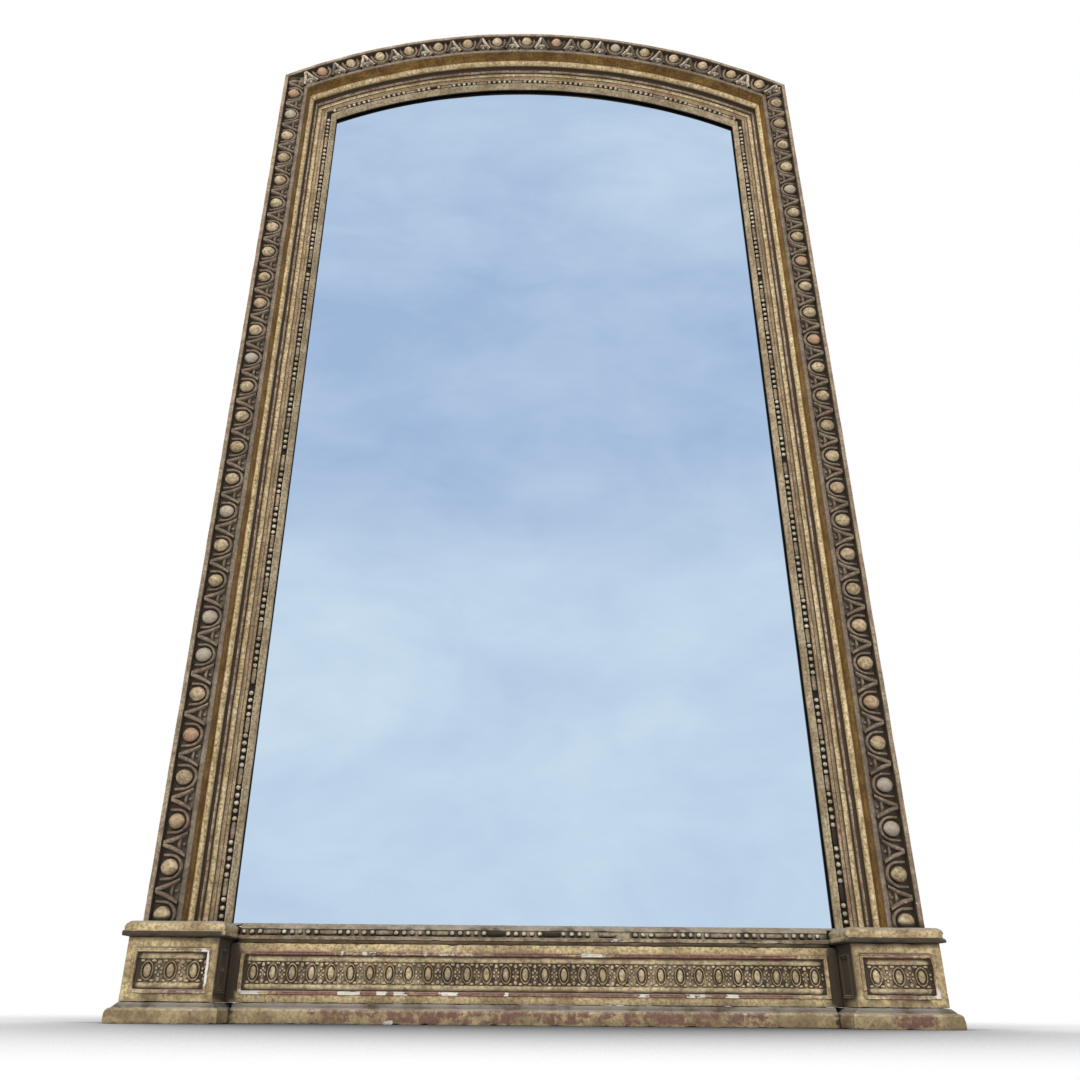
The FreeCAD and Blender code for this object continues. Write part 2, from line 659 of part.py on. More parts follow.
def make_arch_bead_run():
    body = arch_body("arch_bead_run")
    ground = new_sketch(body, "YZ_Plane", "ground")
    draw(ground, box_corners(
        "bead_seat_depth - bead_strip_thickness", "bead_circle - bead_run_width / 2",
        "bead_strip_thickness", "bead_run_width"))
    sweep_arch(body, ground)
    mitre_arch(body)
    start = "-(arch_bead_groups - 1) / 2 * arch_bead_turn"
    beads = new_sketch(body, "XZ_Plane", "beads", "-bead_face_depth", start)
    bead_group(beads, "bead_circle", "0", lambda x, y: (y, x))
    group = pad(body, beads, "bead_rise", taper="-ornament_taper")
    polar_pattern(body, [group], "(arch_bead_groups - 1) * arch_bead_turn", "arch_bead_groups")


def make_bottom_bead_run():
    body = new_body("bottom_bead_run")
    ground = new_sketch(body, "XZ_Plane", "ground", "-bead_seat_depth")
    draw(ground, box_corners(
        "-cap_inner", "bead_line_height - bead_run_width / 2", "2 * cap_inner", "bead_run_width"))
    pad(body, ground, "bead_strip_thickness")
    beads = new_sketch(body, "XZ_Plane", "beads", "-bead_face_depth")
    first = "-(rail_bead_groups - 1) / 2 * bead_group_pitch"
    bead_group(beads, "bead_line_height", first, lambda x, y: (y, x))
    group = pad(body, beads, "bead_rise", taper="-ornament_taper")
    length = "(rail_bead_groups - 1) * bead_group_pitch"
    linear_pattern(body, [group], "X_Axis", length, "rail_bead_groups")


# ---- base ----------------------------------------------------------------------------------


def edges_where(body, test):
    """Names of the edges whose both ends pass the test."""
    doc.recompute()
    shape = body.Shape.copy()
    shape.Placement = FreeCAD.Placement()
    names = []
    for number, edge in enumerate(shape.Edges, start=1):
        if all(test(v.Point) for v in edge.Vertexes):
            names.append("Edge%d" % number)
    return names


def ease_front_and_sides(body, kind, height, amount, back):
    """Rounds or bevels the edges at one height along the front and both ends."""
    level = size(height)
    rear = size(back)

    def upper_edge(point):
        return abs(point.z - level) < SAME_PLACE

    names = []
    for name in edges_where(body, upper_edge):
        edge = body.Tip.Shape.getElement(name)
        if not all(abs(v.Point.y - rear) < SAME_PLACE for v in edge.Vertexes):
            names.append(name)
    feature = body.newObject("PartDesign::" + kind, body.Label + "_" + kind.lower())
    feature.Base = (body.Group[-2], names)
    bind(feature, "Radius" if kind == "Fillet" else "Size", amount)
    feature.Refine = False
    return feature


def slab(label, left, right, front, foot, height):
    """A moulded slab from left to right and from front (a depth) to the frame's back."""
    body = new_body(label, "0", "lip_y", foot)
    plan = new_sketch(body, "XY_Plane", "plan")
    draw(plan, box_corners(left, front, "(" + right + ") - (" + left + ")", "frame_depth - (" + front + ")"))
    pad(body, plan, height)
    return body


def make_base_mouldings():
    spans = (
        ("left_pedestal_base", "-pedestal_outer - base_slab_projection", "-base_inner", "-base_projection"),
        ("right_pedestal_base", "base_inner", "pedestal_outer + base_slab_projection", "-base_projection"),
        ("plinth_base", "-base_inner", "base_inner", "plinth_depth - base_slab_projection"),
    )
    for label, left, right, front in spans:
        nose = "base_slab_height - base_cove_height"
        body = slab(label, left, right, front, "0", nose)
        ease_front_and_sides(body, "Fillet", nose, "base_slab_rounding", "frame_depth")
        step = new_sketch(body, "XY_Plane", "dished_top", "0")
        inset = "base_cove_height"
        draw(step, box_corners(
            left + " + " + inset, front + " + " + inset,
            "(" + right + ") - (" + left + ") - 2 * " + inset, "frame_depth - (" + front + ") - " + inset))
        pad(body, step, "base_slab_height")
        ease_front_and_sides(
            body, "Chamfer", "base_slab_height", "base_cove_height - base_cove_foot", "frame_depth")


def make_pedestals():
    for side, hand in (("left", -1), ("right", 1)):
        left = "-pedestal_outer" if hand < 0 else "pedestal_inner"
        block = new_body(side + "_pedestal", "0", "lip_y", "0")
        plan = new_sketch(block, "XY_Plane", "plan", "base_slab_height")
        draw(plan, box_corners(left, "-pedestal_projection", "pedestal_width", "frame_depth + pedestal_projection"))
        pad(block, plan, "dado_height")
        recess = new_sketch(block, "XZ_Plane", "panel_recess", "pedestal_projection")
        middle = "%d * pedestal_centre" % hand
        draw(recess, panel_corners(middle, "pedestal_panel_half", "panel_moulding_width"))
        cut(block, recess, "panel_sink")
        mortise = new_sketch(block, "XY_Plane", "mortise", "dado_top")
        draw(mortise, tenon_corners("tenon_in - half_width", "tenon_clearance"), -hand)
        cut(block, mortise, "tenon_length / 2 - cap_height + tenon_clearance")
        cap = slab(
            side + "_pedestal_cap", left + " - cap_projection", left + " + pedestal_width + cap_projection",
            "-pedestal_projection - cap_projection", "dado_top", "cap_height")
        ease_front_and_sides(cap, "Fillet", "cap_height", "cap_rounding", "frame_depth")
        mortise = new_sketch(cap, "XY_Plane", "mortise")
        draw(mortise, tenon_corners("tenon_in - half_width", "tenon_clearance"), -hand)
        cut(cap, mortise)


def panel_corners(middle, half, inset):
    return box_corners(
        middle + " - " + half + " + " + inset, "panel_foot + " + inset,
        "2 * " + half + " - 2 * " + inset, "panel_height - 2 * " + inset)


def make_plinth():
    block = new_body("plinth")
    plan = new_sketch(block, "XY_Plane", "plan", "base_slab_height")
    draw(plan, box_corners("-pedestal_inner", "plinth_depth", "2 * pedestal_inner", "frame_depth - plinth_depth"))
    pad(block, plan, "plinth_height")
    recess = new_sketch(block, "XZ_Plane", "panel_recess", "-plinth_depth")
    draw(recess, panel_corners("0", "plinth_panel_half", "panel_moulding_width"))
    cut(block, recess, "panel_sink")


def make_bottom_rail():
    body = new_body("bottom_rail")
    section = new_sketch(body, "YZ_Plane", "section")
    fillet_foot = "rail_foot + groove_height"
    fillet_head = fillet_foot + " + light_fillet_height"
    bead_foot = "bead_line_height - bead_run_width / 2"
    bead_head = "bead_line_height + bead_run_width / 2"
    draw(section, [
        ("plinth_depth + groove_depth", "rail_foot"),
        ("frame_depth", "rail_foot"),
        ("frame_depth", "cap_top"),
        ("glass_seat_depth", "cap_top"),
        ("glass_seat_depth", "cap_top + sight_cover"),
        ("sight_edge_depth", "cap_top + sight_cover"),
        ("fascia_front_depth", bead_head),
        ("bead_seat_depth", bead_head),
        ("bead_seat_depth", bead_foot),
        ("fascia_front_depth", bead_foot),
        ("plinth_depth + light_fillet_setback", fillet_head),
        ("plinth_depth + light_fillet_setback", fillet_foot),
        ("plinth_depth + groove_depth", fillet_foot),
    ])
    pad(body, section, "2 * sight_half_width", middle=True)
    for name, flip in (("left_notch", -1), ("right_notch", 1)):
        notch = new_sketch(body, "XZ_Plane", name)
        draw(notch, box_corners("cap_inner", "0", "moulding_width", "cap_top"), flip)
        cut(body, notch)


def make_panel_mouldings():
    fronts = (
        ("left_panel_moulding", "-pedestal_centre", "pedestal_panel_half", "pedestal_projection"),
        ("right_panel_moulding", "pedestal_centre", "pedestal_panel_half", "pedestal_projection"),
        ("plinth_panel_moulding", "0", "plinth_panel_half", "-plinth_depth"),
    )
    for label, middle, half, offset in fronts:
        body = new_body(label)
        outline = new_sketch(body, "XZ_Plane", "outline", offset)
        draw(outline, panel_corners(middle, half, "0"))
        draw(outline, panel_corners(middle, half, "panel_moulding_width"))
        pad(body, outline, "panel_moulding_rise")
    for label, hand in (("left_return_panel_moulding", -1), ("right_return_panel_moulding", 1)):
        body = new_body(label)
        outline = new_sketch(body, "YZ_Plane", "outline", "%d * pedestal_inner" % hand)
        front = "panel_margin - pedestal_projection"
        length = "plinth_depth - panel_margin - (" + front + ")"
        width = "panel_moulding_width"
        draw(outline, box_corners(front, "panel_foot", length, "panel_height"))
        draw(outline, box_corners(
            front + " + " + width, "recess_foot", length + " - 2 * " + width, "recess_height"))
        pad(body, outline, "panel_moulding_rise", back=hand > 0)


def make_friezes():
    places = (
        ("left_frieze", "-pedestal_centre", "pedestal_panel_half", "pedestal_projection - panel_sink"),
        ("right_frieze", "pedestal_centre", "pedestal_panel_half", "pedestal_projection - panel_sink"),
        ("plinth_frieze", "0", "plinth_panel_half", "-plinth_depth - panel_sink"),
    )
    for label, middle, half, offset in places:
        body = new_body(label)
        ground = new_sketch(body, "XZ_Plane", "ground", offset)
        draw(ground, panel_corners(middle, half, "panel_moulding_width"))
        pad(body, ground, "frieze_thickness")
        bands = new_sketch(body, "XZ_Plane", "bands", offset)
        left = middle + " - " + half + " + panel_moulding_width"
        length = "2 * " + half + " - 2 * panel_moulding_width"
        draw(bands, box_corners(left, "recess_foot", length, "frieze_band_width"))
        upper = "recess_foot + recess_height - frieze_band_width"
        draw(bands, box_corners(left, upper, length, "frieze_band_width"))
        pad(body, bands, "frieze_thickness + frieze_band_rise")
        eggs = "floor((%s) / frieze_egg_pitch)" % length
        pitch = "(%s) / %s" % (length, eggs)
        egg = new_sketch(body, "XZ_Plane", "egg", offset + " + frieze_thickness")
        draw(egg, ring_corners(
            left + " + (" + pitch + ") / 2", "recess_foot + recess_height / 2",
            "frieze_egg_width", "frieze_egg_height", 6))
        first = pad(body, egg, "frieze_egg_rise", taper="-ornament_taper")
        linear_pattern(body, [first], "X_Axis", "(%s) - %s" % (length, pitch), eggs)


# ---- glass and back ------------------------------------------------------------------------


def make_glass():
    body = new_body("mirror_glass")
    outline = new_sketch(body, "XZ_Plane", "outline", "-glass_front_depth")
    shoulder = "arch_centre + sqrt(glass_radius ^ 2 - glass_half_width ^ 2)"
    draw(outline, [
        ("-glass_half_width", "cap_top + glass_air"),
        ("glass_half_width", "cap_top + glass_air"),
        ("glass_half_width", shoulder, "glass_radius", -1),
        ("-glass_half_width", shoulder),
    ])
    pad(body, outline, "glass_thickness", back=True)


def make_backboards():
    for number in range(int(size("board_count"))):
        body = new_body("backboard_%d" % (number + 1))
        outline = new_sketch(body, "XZ_Plane", "outline", "-board_seat_depth")
        foot = "boards_foot + %d * board_pitch" % number
        if number + 1 < size("board_count"):
            draw(outline, box_corners(
                "-board_half_width", foot, "2 * board_half_width", "board_pitch - board_gap"))
        else:
            shoulder = "arch_centre + sqrt(board_radius ^ 2 - board_half_width ^ 2)"
            draw(outline, [
                ("-board_half_width", foot),
                ("board_half_width", foot),
                ("board_half_width", shoulder, "board_radius", -1),
                ("-board_half_width", shoulder),
            ])
        pad(body, outline, "board_thickness", back=True)


def turned_block(sketch, angle):
    """A block under the arch, square to the radius at angle degrees from the crown."""
    corners = []
    for along, out in ((-1, -1), (1, -1), (1, 1), (-1, 1)):
        reach = "(block_circle + %d * block_width / 2)" % out
        slide = "(%d * block_length / 2)" % along
        corners.append((
            "%s * sin(%s) + %s * cos(%s)" % (reach, angle, slide, angle),
            "arch_centre + %s * cos(%s) - %s * sin(%s)" % (reach, angle, slide, angle),
        ))
    draw(sketch, corners)


def make_glass_blocks():
    body = new_body("glass_blocks")
    body.AllowCompound = True
    outlines = new_sketch(body, "XZ_Plane", "outlines", "-glass_back_depth")
    outer = "half_width - glass_rebate_in"
    for number in range(int(size("blocks_per_stile"))):
        middle = "(%d + 0.5) * stile_height / blocks_per_stile * stile_block_share" % number
        foot = "cap_top + " + middle + " - block_length / 2"
        for flip in (1, -1):
            draw(outlines, box_corners(outer + " - block_width", foot, "block_width", "block_length"), flip)
    for number in range(int(size("blocks_across"))):
        step = "(%d + 0.5 - blocks_across / 2)" % number
        left = step + " * 2 * sight_half_width / blocks_across - block_length / 2"
        draw(outlines, box_corners(left, "cap_top + glass_air", "block_length", "block_width"))
        turned_block(outlines, step + " * arch_block_spread / blocks_across")
    pad(body, outlines, "block_thickness", back=True)


def tenon_corners(middle, clearance):
    """A tenon in plan, or its mortise with the clearance round it."""
    return box_corners(
        middle + " - tenon_width / 2 - " + clearance,
        "tenon_depth_place - tenon_thickness / 2 - " + clearance,
        "tenon_width + 2 * " + clearance, "tenon_thickness + 2 * " + clearance)


def make_tenons():
    body = new_body("stile_tenons", "0", "lip_y", "cap_top")
    body.AllowCompound = True
    plan = new_sketch(body, "XY_Plane", "plan")
    for flip in (1, -1):
        draw(plan, tenon_corners("tenon_in - half_width", "0"), flip)
    pad(body, plan, "tenon_length", middle=True)


def main():
    fill_sheet()
    make_stiles()
    make_arch_rail()
    make_mitre_keys()
    make_stile_egg_runs()
    make_arch_egg_run()
    make_stile_bead_runs()
    make_arch_bead_run()
    make_bottom_bead_run()
    make_base_mouldings()
    make_pedestals()
    make_plinth()
    make_bottom_rail()
    make_panel_mouldings()
    make_friezes()
    make_glass()
    make_backboards()
    make_glass_blocks()
    make_tenons()
    check_and_write()


def check_and_write():
    """Refuses a failed feature or a bad shape, then writes one STEP file for each piece."""
    doc.recompute()
    for thing in doc.Objects:
        if "Invalid" in thing.State or "Error" in thing.State:
            raise RuntimeError(thing.Label + " failed: " + ", ".join(thing.State))
    for node in NODES:
        if node.Shape.isNull() or not node.Shape.isValid() or node.Shape.Volume <= 0:
            raise RuntimeError(node.Label + " has no valid solid")
    os.makedirs("parts", exist_ok=True)
    for node in NODES:
        node.Shape.exportStep("parts/" + node.Label + ".step")
        box = node.Shape.BoundBox
        print("%-24s x %7.1f..%7.1f y %6.1f..%6.1f z %7.1f..%7.1f solids %d faces %d" % (
            node.Label, box.XMin, box.XMax, box.YMin, box.YMax, box.ZMin, box.ZMax,
            len(node.Shape.Solids), len(node.Shape.Faces)))


main()
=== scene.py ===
import math
import random

import bmesh
import bpy
from mathutils import Matrix, Vector, kdtree, noise
from mathutils.bvhtree import BVHTree


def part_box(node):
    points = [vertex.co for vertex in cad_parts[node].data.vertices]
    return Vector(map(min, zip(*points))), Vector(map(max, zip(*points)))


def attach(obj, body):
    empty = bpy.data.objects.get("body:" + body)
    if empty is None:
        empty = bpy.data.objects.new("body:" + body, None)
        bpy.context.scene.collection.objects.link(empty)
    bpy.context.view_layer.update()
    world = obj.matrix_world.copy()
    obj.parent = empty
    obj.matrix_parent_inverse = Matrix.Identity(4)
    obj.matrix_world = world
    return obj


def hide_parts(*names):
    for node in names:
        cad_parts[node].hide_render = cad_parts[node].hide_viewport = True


# An old gilded overmantel mirror: arched egg-and-dart frame, beaded sight edge, panelled base.
# Metres. X to the right, Y to the back, Z up, the floor at 0.

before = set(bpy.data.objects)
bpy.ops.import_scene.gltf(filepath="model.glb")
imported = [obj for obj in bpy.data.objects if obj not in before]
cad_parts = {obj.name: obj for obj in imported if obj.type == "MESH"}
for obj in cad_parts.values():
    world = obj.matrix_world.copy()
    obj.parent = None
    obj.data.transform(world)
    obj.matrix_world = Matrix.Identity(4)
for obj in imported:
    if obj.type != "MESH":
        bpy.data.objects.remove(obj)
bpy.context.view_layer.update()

MM = 0.001
HALF = 0.490
LIP_Y = -0.0295
BACK_Y = 0.0555
CAP_TOP = 0.113
CORNER = 1.654
RISE = 0.135
MOULDING = 0.095
RADIUS = (HALF**2 + RISE**2) / (2 * RISE)
CENTRE = CORNER + RISE - RADIUS
SIGHT_HALF = HALF - MOULDING
MITRE_FALL = (CORNER - CENTRE) - math.sqrt((RADIUS - MOULDING) ** 2 - SIGHT_HALF**2)
MITRE_SLOPE = MITRE_FALL / MOULDING
EGG_LINE = 0.0235
BEAD_LINE = 0.084
SEED = 11
dice = random.Random(SEED)
noise.seed_set(SEED)

pieces = []
mouldings = {}


# ---- materials ----


class Shop:
    """Places and joins nodes in one tree."""

    def __init__(self, tree):
        self.tree = tree

    def add(self, kind, sockets=None, **settings):
        node = self.tree.nodes.new(kind)
        for name, value in settings.items():
            setattr(node, name, value)
        for name, value in (sockets or {}).items():
            self.feed(node.inputs[name], value)
        return node

    def feed(self, socket, value):
        """Joins a socket to another, or sets it to a plain value."""
        if isinstance(value, bpy.types.NodeSocket):
            self.tree.links.new(value, socket)
        elif isinstance(value, tuple) and len(value) == 3 and socket.type == "RGBA":
            socket.default_value = value + (1.0,)
        else:
            socket.default_value = value

    def maths(self, kind, a, b=0.0, clamp=False):
        node = self.add("ShaderNodeMath", operation=kind, use_clamp=clamp)
        self.feed(node.inputs[0], a)
        self.feed(node.inputs[1], b)
        return node.outputs[0]

    def plus(self, *terms):
        total = terms[0]
        for term in terms[1:]:
            total = self.maths("ADD", total, term)
        return total

    def times(self, a, b):
        return self.maths("MULTIPLY", a, b)

    def ramp(self, value, low, high):
        """0 at low and under, 1 at high and over, eased between."""
        node = self.add("ShaderNodeMapRange", interpolation_type="SMOOTHSTEP")
        self.feed(node.inputs["Value"], value)
        self.feed(node.inputs["From Min"], low)
        self.feed(node.inputs["From Max"], high)
        return node.outputs["Result"]

    def mix(self, factor, a, b, blend="MIX"):
        node = self.add("ShaderNodeMix", data_type="RGBA", blend_type=blend)
        self.feed(node.inputs[0], factor)
        self.feed(node.inputs[6], a)
        self.feed(node.inputs[7], b)
        return node.outputs[2]

    def grain(self, place, scale, detail=4.0, roughness=0.6, distortion=0.0):
        node = self.add(
            "ShaderNodeTexNoise",
            {"Scale": scale, "Detail": detail, "Roughness": roughness, "Distortion": distortion},
        )
        self.feed(node.inputs["Vector"], place)
        return node.outputs["Fac"]

    def stretched(self, place, x, y, z):
        node = self.add("ShaderNodeMapping")
        self.feed(node.inputs["Vector"], place)
        node.inputs["Scale"].default_value = (x, y, z)
        return node.outputs["Vector"]

    def painted(self, name):
        return self.add("ShaderNodeAttribute", attribute_name=name).outputs["Fac"]

    def place(self):
        return self.add("ShaderNodeTexCoord").outputs["Object"]

    def facing(self):
        """The surface's normal, by X, Y and Z."""
        normal = self.add("ShaderNodeNewGeometry").outputs["Normal"]
        return self.add("ShaderNodeSeparateXYZ", {"Vector": normal}).outputs


def new_group(name, inputs, outputs):
    group = bpy.data.node_groups.new(name, "ShaderNodeTree")
    for label, kind, value in inputs:
        socket = group.interface.new_socket(label, in_out="INPUT", socket_type="NodeSocket" + kind)
        if value is not None:
            socket.default_value = value
    for label, kind in outputs:
        group.interface.new_socket(label, in_out="OUTPUT", socket_type="NodeSocket" + kind)
    shop = Shop(group)
    return group, shop, shop.add("NodeGroupInput"), shop.add("NodeGroupOutput")


def make_gilding_group():
    """Leaf over bole over gesso: rubbed through, chipped, soiled, and darkened with painted shade where it
    lies low among its neighbours.
    """
    inputs = [
        ("Leaf", "Color", (0.5, 0.34, 0.14, 1)),
        ("Pale leaf", "Color", (0.62, 0.46, 0.24, 1)),
        ("Bole", "Color", (0.125, 0.055, 0.043, 1)),
        ("Gesso", "Color", (0.57, 0.53, 0.475, 1)),
        ("ShadeAndDirtColour", "Color", (0.045, 0.032, 0.02, 1)),
        ("Rubbed", "Float", 0.2),
        ("Chipped", "Float", 0.0),
        ("ShadeAndDirtAmount", "Float", 1.0),
        ("Dusty", "Float", 0.2),
        ("Bright", "Float", 0.5),
        ("Cracked", "Float", 0.0),
        ("Streaked", "Float", 0.0),
    ]
    outputs = [("Color", "Color"), ("Roughness", "Float"), ("Metallic", "Float"), ("Height", "Float")]
    group, shop, given, out = new_group("aged gilding", inputs, outputs)
    place = shop.place()
    cloud = shop.grain(place, 32.0, 5.0, 0.62)
    fleck = shop.grain(place, 240.0, 4.0, 0.65)
    speck = shop.grain(place, 780.0, 3.0, 0.6)
    worn = shop.grain(place, 74.0, 7.0, 0.7, 0.4)
    lost = shop.grain(place, 46.0, 6.0, 0.7, 0.8)
    edge = shop.painted("edge")
    sunk = shop.painted("grime")

    across = shop.painted("across")
    along = shop.painted("along")
    lengthways = shop.add("ShaderNodeCombineXYZ", {"X": across, "Y": shop.times(along, 0.022)}).outputs[0]
    streak = shop.grain(lengthways, 0.8, 5.0, 0.68, 0.2)

    leaf = shop.mix(shop.ramp(cloud, 0.38, 0.62), given.outputs["Leaf"], given.outputs["Pale leaf"])
    leaf = shop.mix(shop.times(shop.ramp(fleck, 0.58, 0.40), 0.55), leaf, given.outputs["ShadeAndDirtColour"])
    drawn = shop.times(shop.ramp(streak, 0.47, 0.62), given.outputs["Streaked"])
    leaf = shop.mix(drawn, leaf, (0.085, 0.056, 0.032))
    grey = shop.ramp(shop.painted("tone"), 0.45, 0.05)
    pink = shop.ramp(shop.painted("tone"), 0.55, 0.95)
    leaf = shop.mix(shop.times(grey, 0.75), leaf, (0.30, 0.265, 0.225))
    leaf = shop.mix(shop.times(pink, 0.65), leaf, (0.33, 0.17, 0.105))

    bole_weight = shop.plus(
        given.outputs["Rubbed"], shop.times(shop.painted("rubbed"), 0.56),
        shop.times(edge, 0.26), shop.times(shop.plus(worn, -0.5), 2.0),
    )
    bole_shows = shop.ramp(bole_weight, 0.42, 0.62)
    gesso_weight = shop.plus(
        given.outputs["Chipped"], shop.times(shop.painted("bare"), 0.50),
        shop.times(edge, 0.08), shop.times(shop.plus(lost, -0.5), 1.5),
    )
    gesso_shows = shop.ramp(gesso_weight, 0.36, 0.41)
    bole = shop.mix(shop.ramp(fleck, 0.35, 0.7), given.outputs["Bole"], (0.23, 0.125, 0.092))
    colour = shop.mix(bole_shows, leaf, bole)
    colour = shop.mix(gesso_shows, colour, given.outputs["Gesso"])

    # painted shade: hollows found by the rays and the section's toning darken towards the dark colour, along
    # with real soiling
    hollow_shade_and_dirt = shop.times(sunk, given.outputs["ShadeAndDirtAmount"])
    shade_and_dirt = shop.ramp(shop.plus(hollow_shade_and_dirt, shop.times(shop.plus(fleck, -0.5), 0.5)), 0.22, 0.86)
    colour = shop.mix(shade_and_dirt, colour, given.outputs["ShadeAndDirtColour"])
    pits = shop.times(shop.ramp(speck, 0.60, 0.74), 0.7)
    colour = shop.mix(pits, colour, given.outputs["ShadeAndDirtColour"])

    crack = shop.add("ShaderNodeTexVoronoi", voronoi_dimensions="1D", feature="DISTANCE_TO_EDGE")
    shop.feed(crack.inputs["Scale"], 1.0)
    shop.feed(crack.inputs["W"], shop.plus(shop.times(along, 0.038), shop.times(fleck, 0.05)))
    open_here = shop.times(shop.ramp(worn, 0.40, 0.56), given.outputs["Cracked"])
    split = shop.times(shop.ramp(crack.outputs["Distance"], 0.020, 0.004), open_here)
    colour = shop.mix(split, colour, given.outputs["ShadeAndDirtColour"])

    dust = shop.times(shop.ramp(shop.facing()["Z"], 0.35, 0.95), given.outputs["Dusty"])
    dust = shop.times(dust, shop.ramp(cloud, 0.25, 0.6))
    colour = shop.mix(dust, colour, (0.26, 0.235, 0.20))

    worn_through = shop.maths("MAXIMUM", bole_shows, gesso_shows)
    dull = shop.maths("MAXIMUM", worn_through, shop.maths("MAXIMUM", shade_and_dirt, dust))
    shine = shop.maths("SUBTRACT", 1.0, dull, clamp=True)
    roughness = shop.plus(0.40, shop.times(dull, 0.35), shop.times(fleck, 0.16))
    metallic = shop.times(shine, given.outputs["Bright"])
    height = shop.plus(
        shop.times(fleck, 0.35), shop.times(speck, 0.18), shop.times(cloud, 0.4),
        shop.times(gesso_shows, -0.9), shop.times(bole_shows, -0.25), shop.times(split, -0.8),
    )
    results = {"Color": colour, "Roughness": roughness, "Metallic": metallic, "Height": height}
    for label, value in results.items():
        shop.feed(out.inputs[label], value)
    return group


def make_wood_group():
    """Sawn softwood, greyed and stained over the years, its grain along X or Z."""
    inputs = [
        ("Light", "Color", (0.26, 0.16, 0.085, 1)),
        ("Dark", "Color", (0.09, 0.055, 0.03, 1)),
        ("Along X", "Float", 1.0),
    ]
    outputs = [("Color", "Color"), ("Roughness", "Float"), ("Height", "Float")]
    group, shop, given, out = new_group("old softwood", inputs, outputs)
    place = shop.place()
    lying = shop.stretched(place, 2.2, 60.0, 60.0)
    standing = shop.stretched(place, 60.0, 60.0, 2.2)
    pick = shop.add("ShaderNodeMix", data_type="VECTOR")
    shop.feed(pick.inputs[0], given.outputs["Along X"])
    shop.feed(pick.inputs[4], standing)
    shop.feed(pick.inputs[5], lying)
    grain = shop.grain(pick.outputs[1], 1.0, 7.0, 0.62, 1.3)
    fibre = shop.grain(pick.outputs[1], 6.0, 4.0, 0.7)
    stain = shop.grain(place, 9.0, 5.0, 0.6)
    colour = shop.mix(shop.ramp(grain, 0.35, 0.65), given.outputs["Dark"], given.outputs["Light"])
    colour = shop.mix(shop.times(shop.ramp(fibre, 0.6, 0.3), 0.5), colour, given.outputs["Dark"])
    colour = shop.mix(shop.times(shop.ramp(stain, 0.5, 0.75), 0.45), colour, (0.07, 0.055, 0.04))
    shop.feed(out.inputs["Color"], colour)
    shop.feed(out.inputs["Roughness"], shop.plus(0.72, shop.times(fibre, 0.2)))
    shop.feed(out.inputs["Height"], shop.plus(shop.times(grain, 0.7), shop.times(fibre, 0.5)))
    return group


def new_material(name, **plain):
    material = bpy.data.materials.new(name)
    material.use_nodes = True
    shader = material.node_tree.nodes["Principled BSDF"]
    for label, value in plain.items():
        shader.inputs[label.replace("_", " ")].default_value = value
    return material, Shop(material.node_tree), shader


def grouped_material(name, group, bump, labels, **values):
    """A material whose looks come from a shared group with its own values."""
    material, shop, shader = new_material(name)
    surface = shop.add("ShaderNodeGroup", node_tree=group)
    for label, value in values.items():
        shop.feed(surface.inputs[label.replace("_", " ")], value)
    for source, target in labels:
        shop.feed(shader.inputs[target], surface.outputs[source])
    relief = shop.add("ShaderNodeBump", {"Strength": bump, "Distance": 0.0008})
    shop.feed(relief.inputs["Height"], surface.outputs["Height"])
    shop.feed(shader.inputs["Normal"], relief.outputs["Normal"])
    return material


gilding = make_gilding_group()
softwood = make_wood_group()
GILDED = [("Color", "Base Color"), ("Roughness", "Roughness"), ("Metallic", "Metallic")]
WOODEN = [("Color", "Base Color"), ("Roughness", "Roughness")]


def gilt(name, bump=0.5, **values):
    return grouped_material(name, gilding, bump, GILDED, **values)


def wood(name, **values):
    return grouped_material(name, softwood, 0.7, WOODEN, **values)


# the dark colour of painted shade in hollows, and of real soiling, pits and cracks
DARK_SHADE_AND_DIRT = (0.042, 0.031, 0.021)

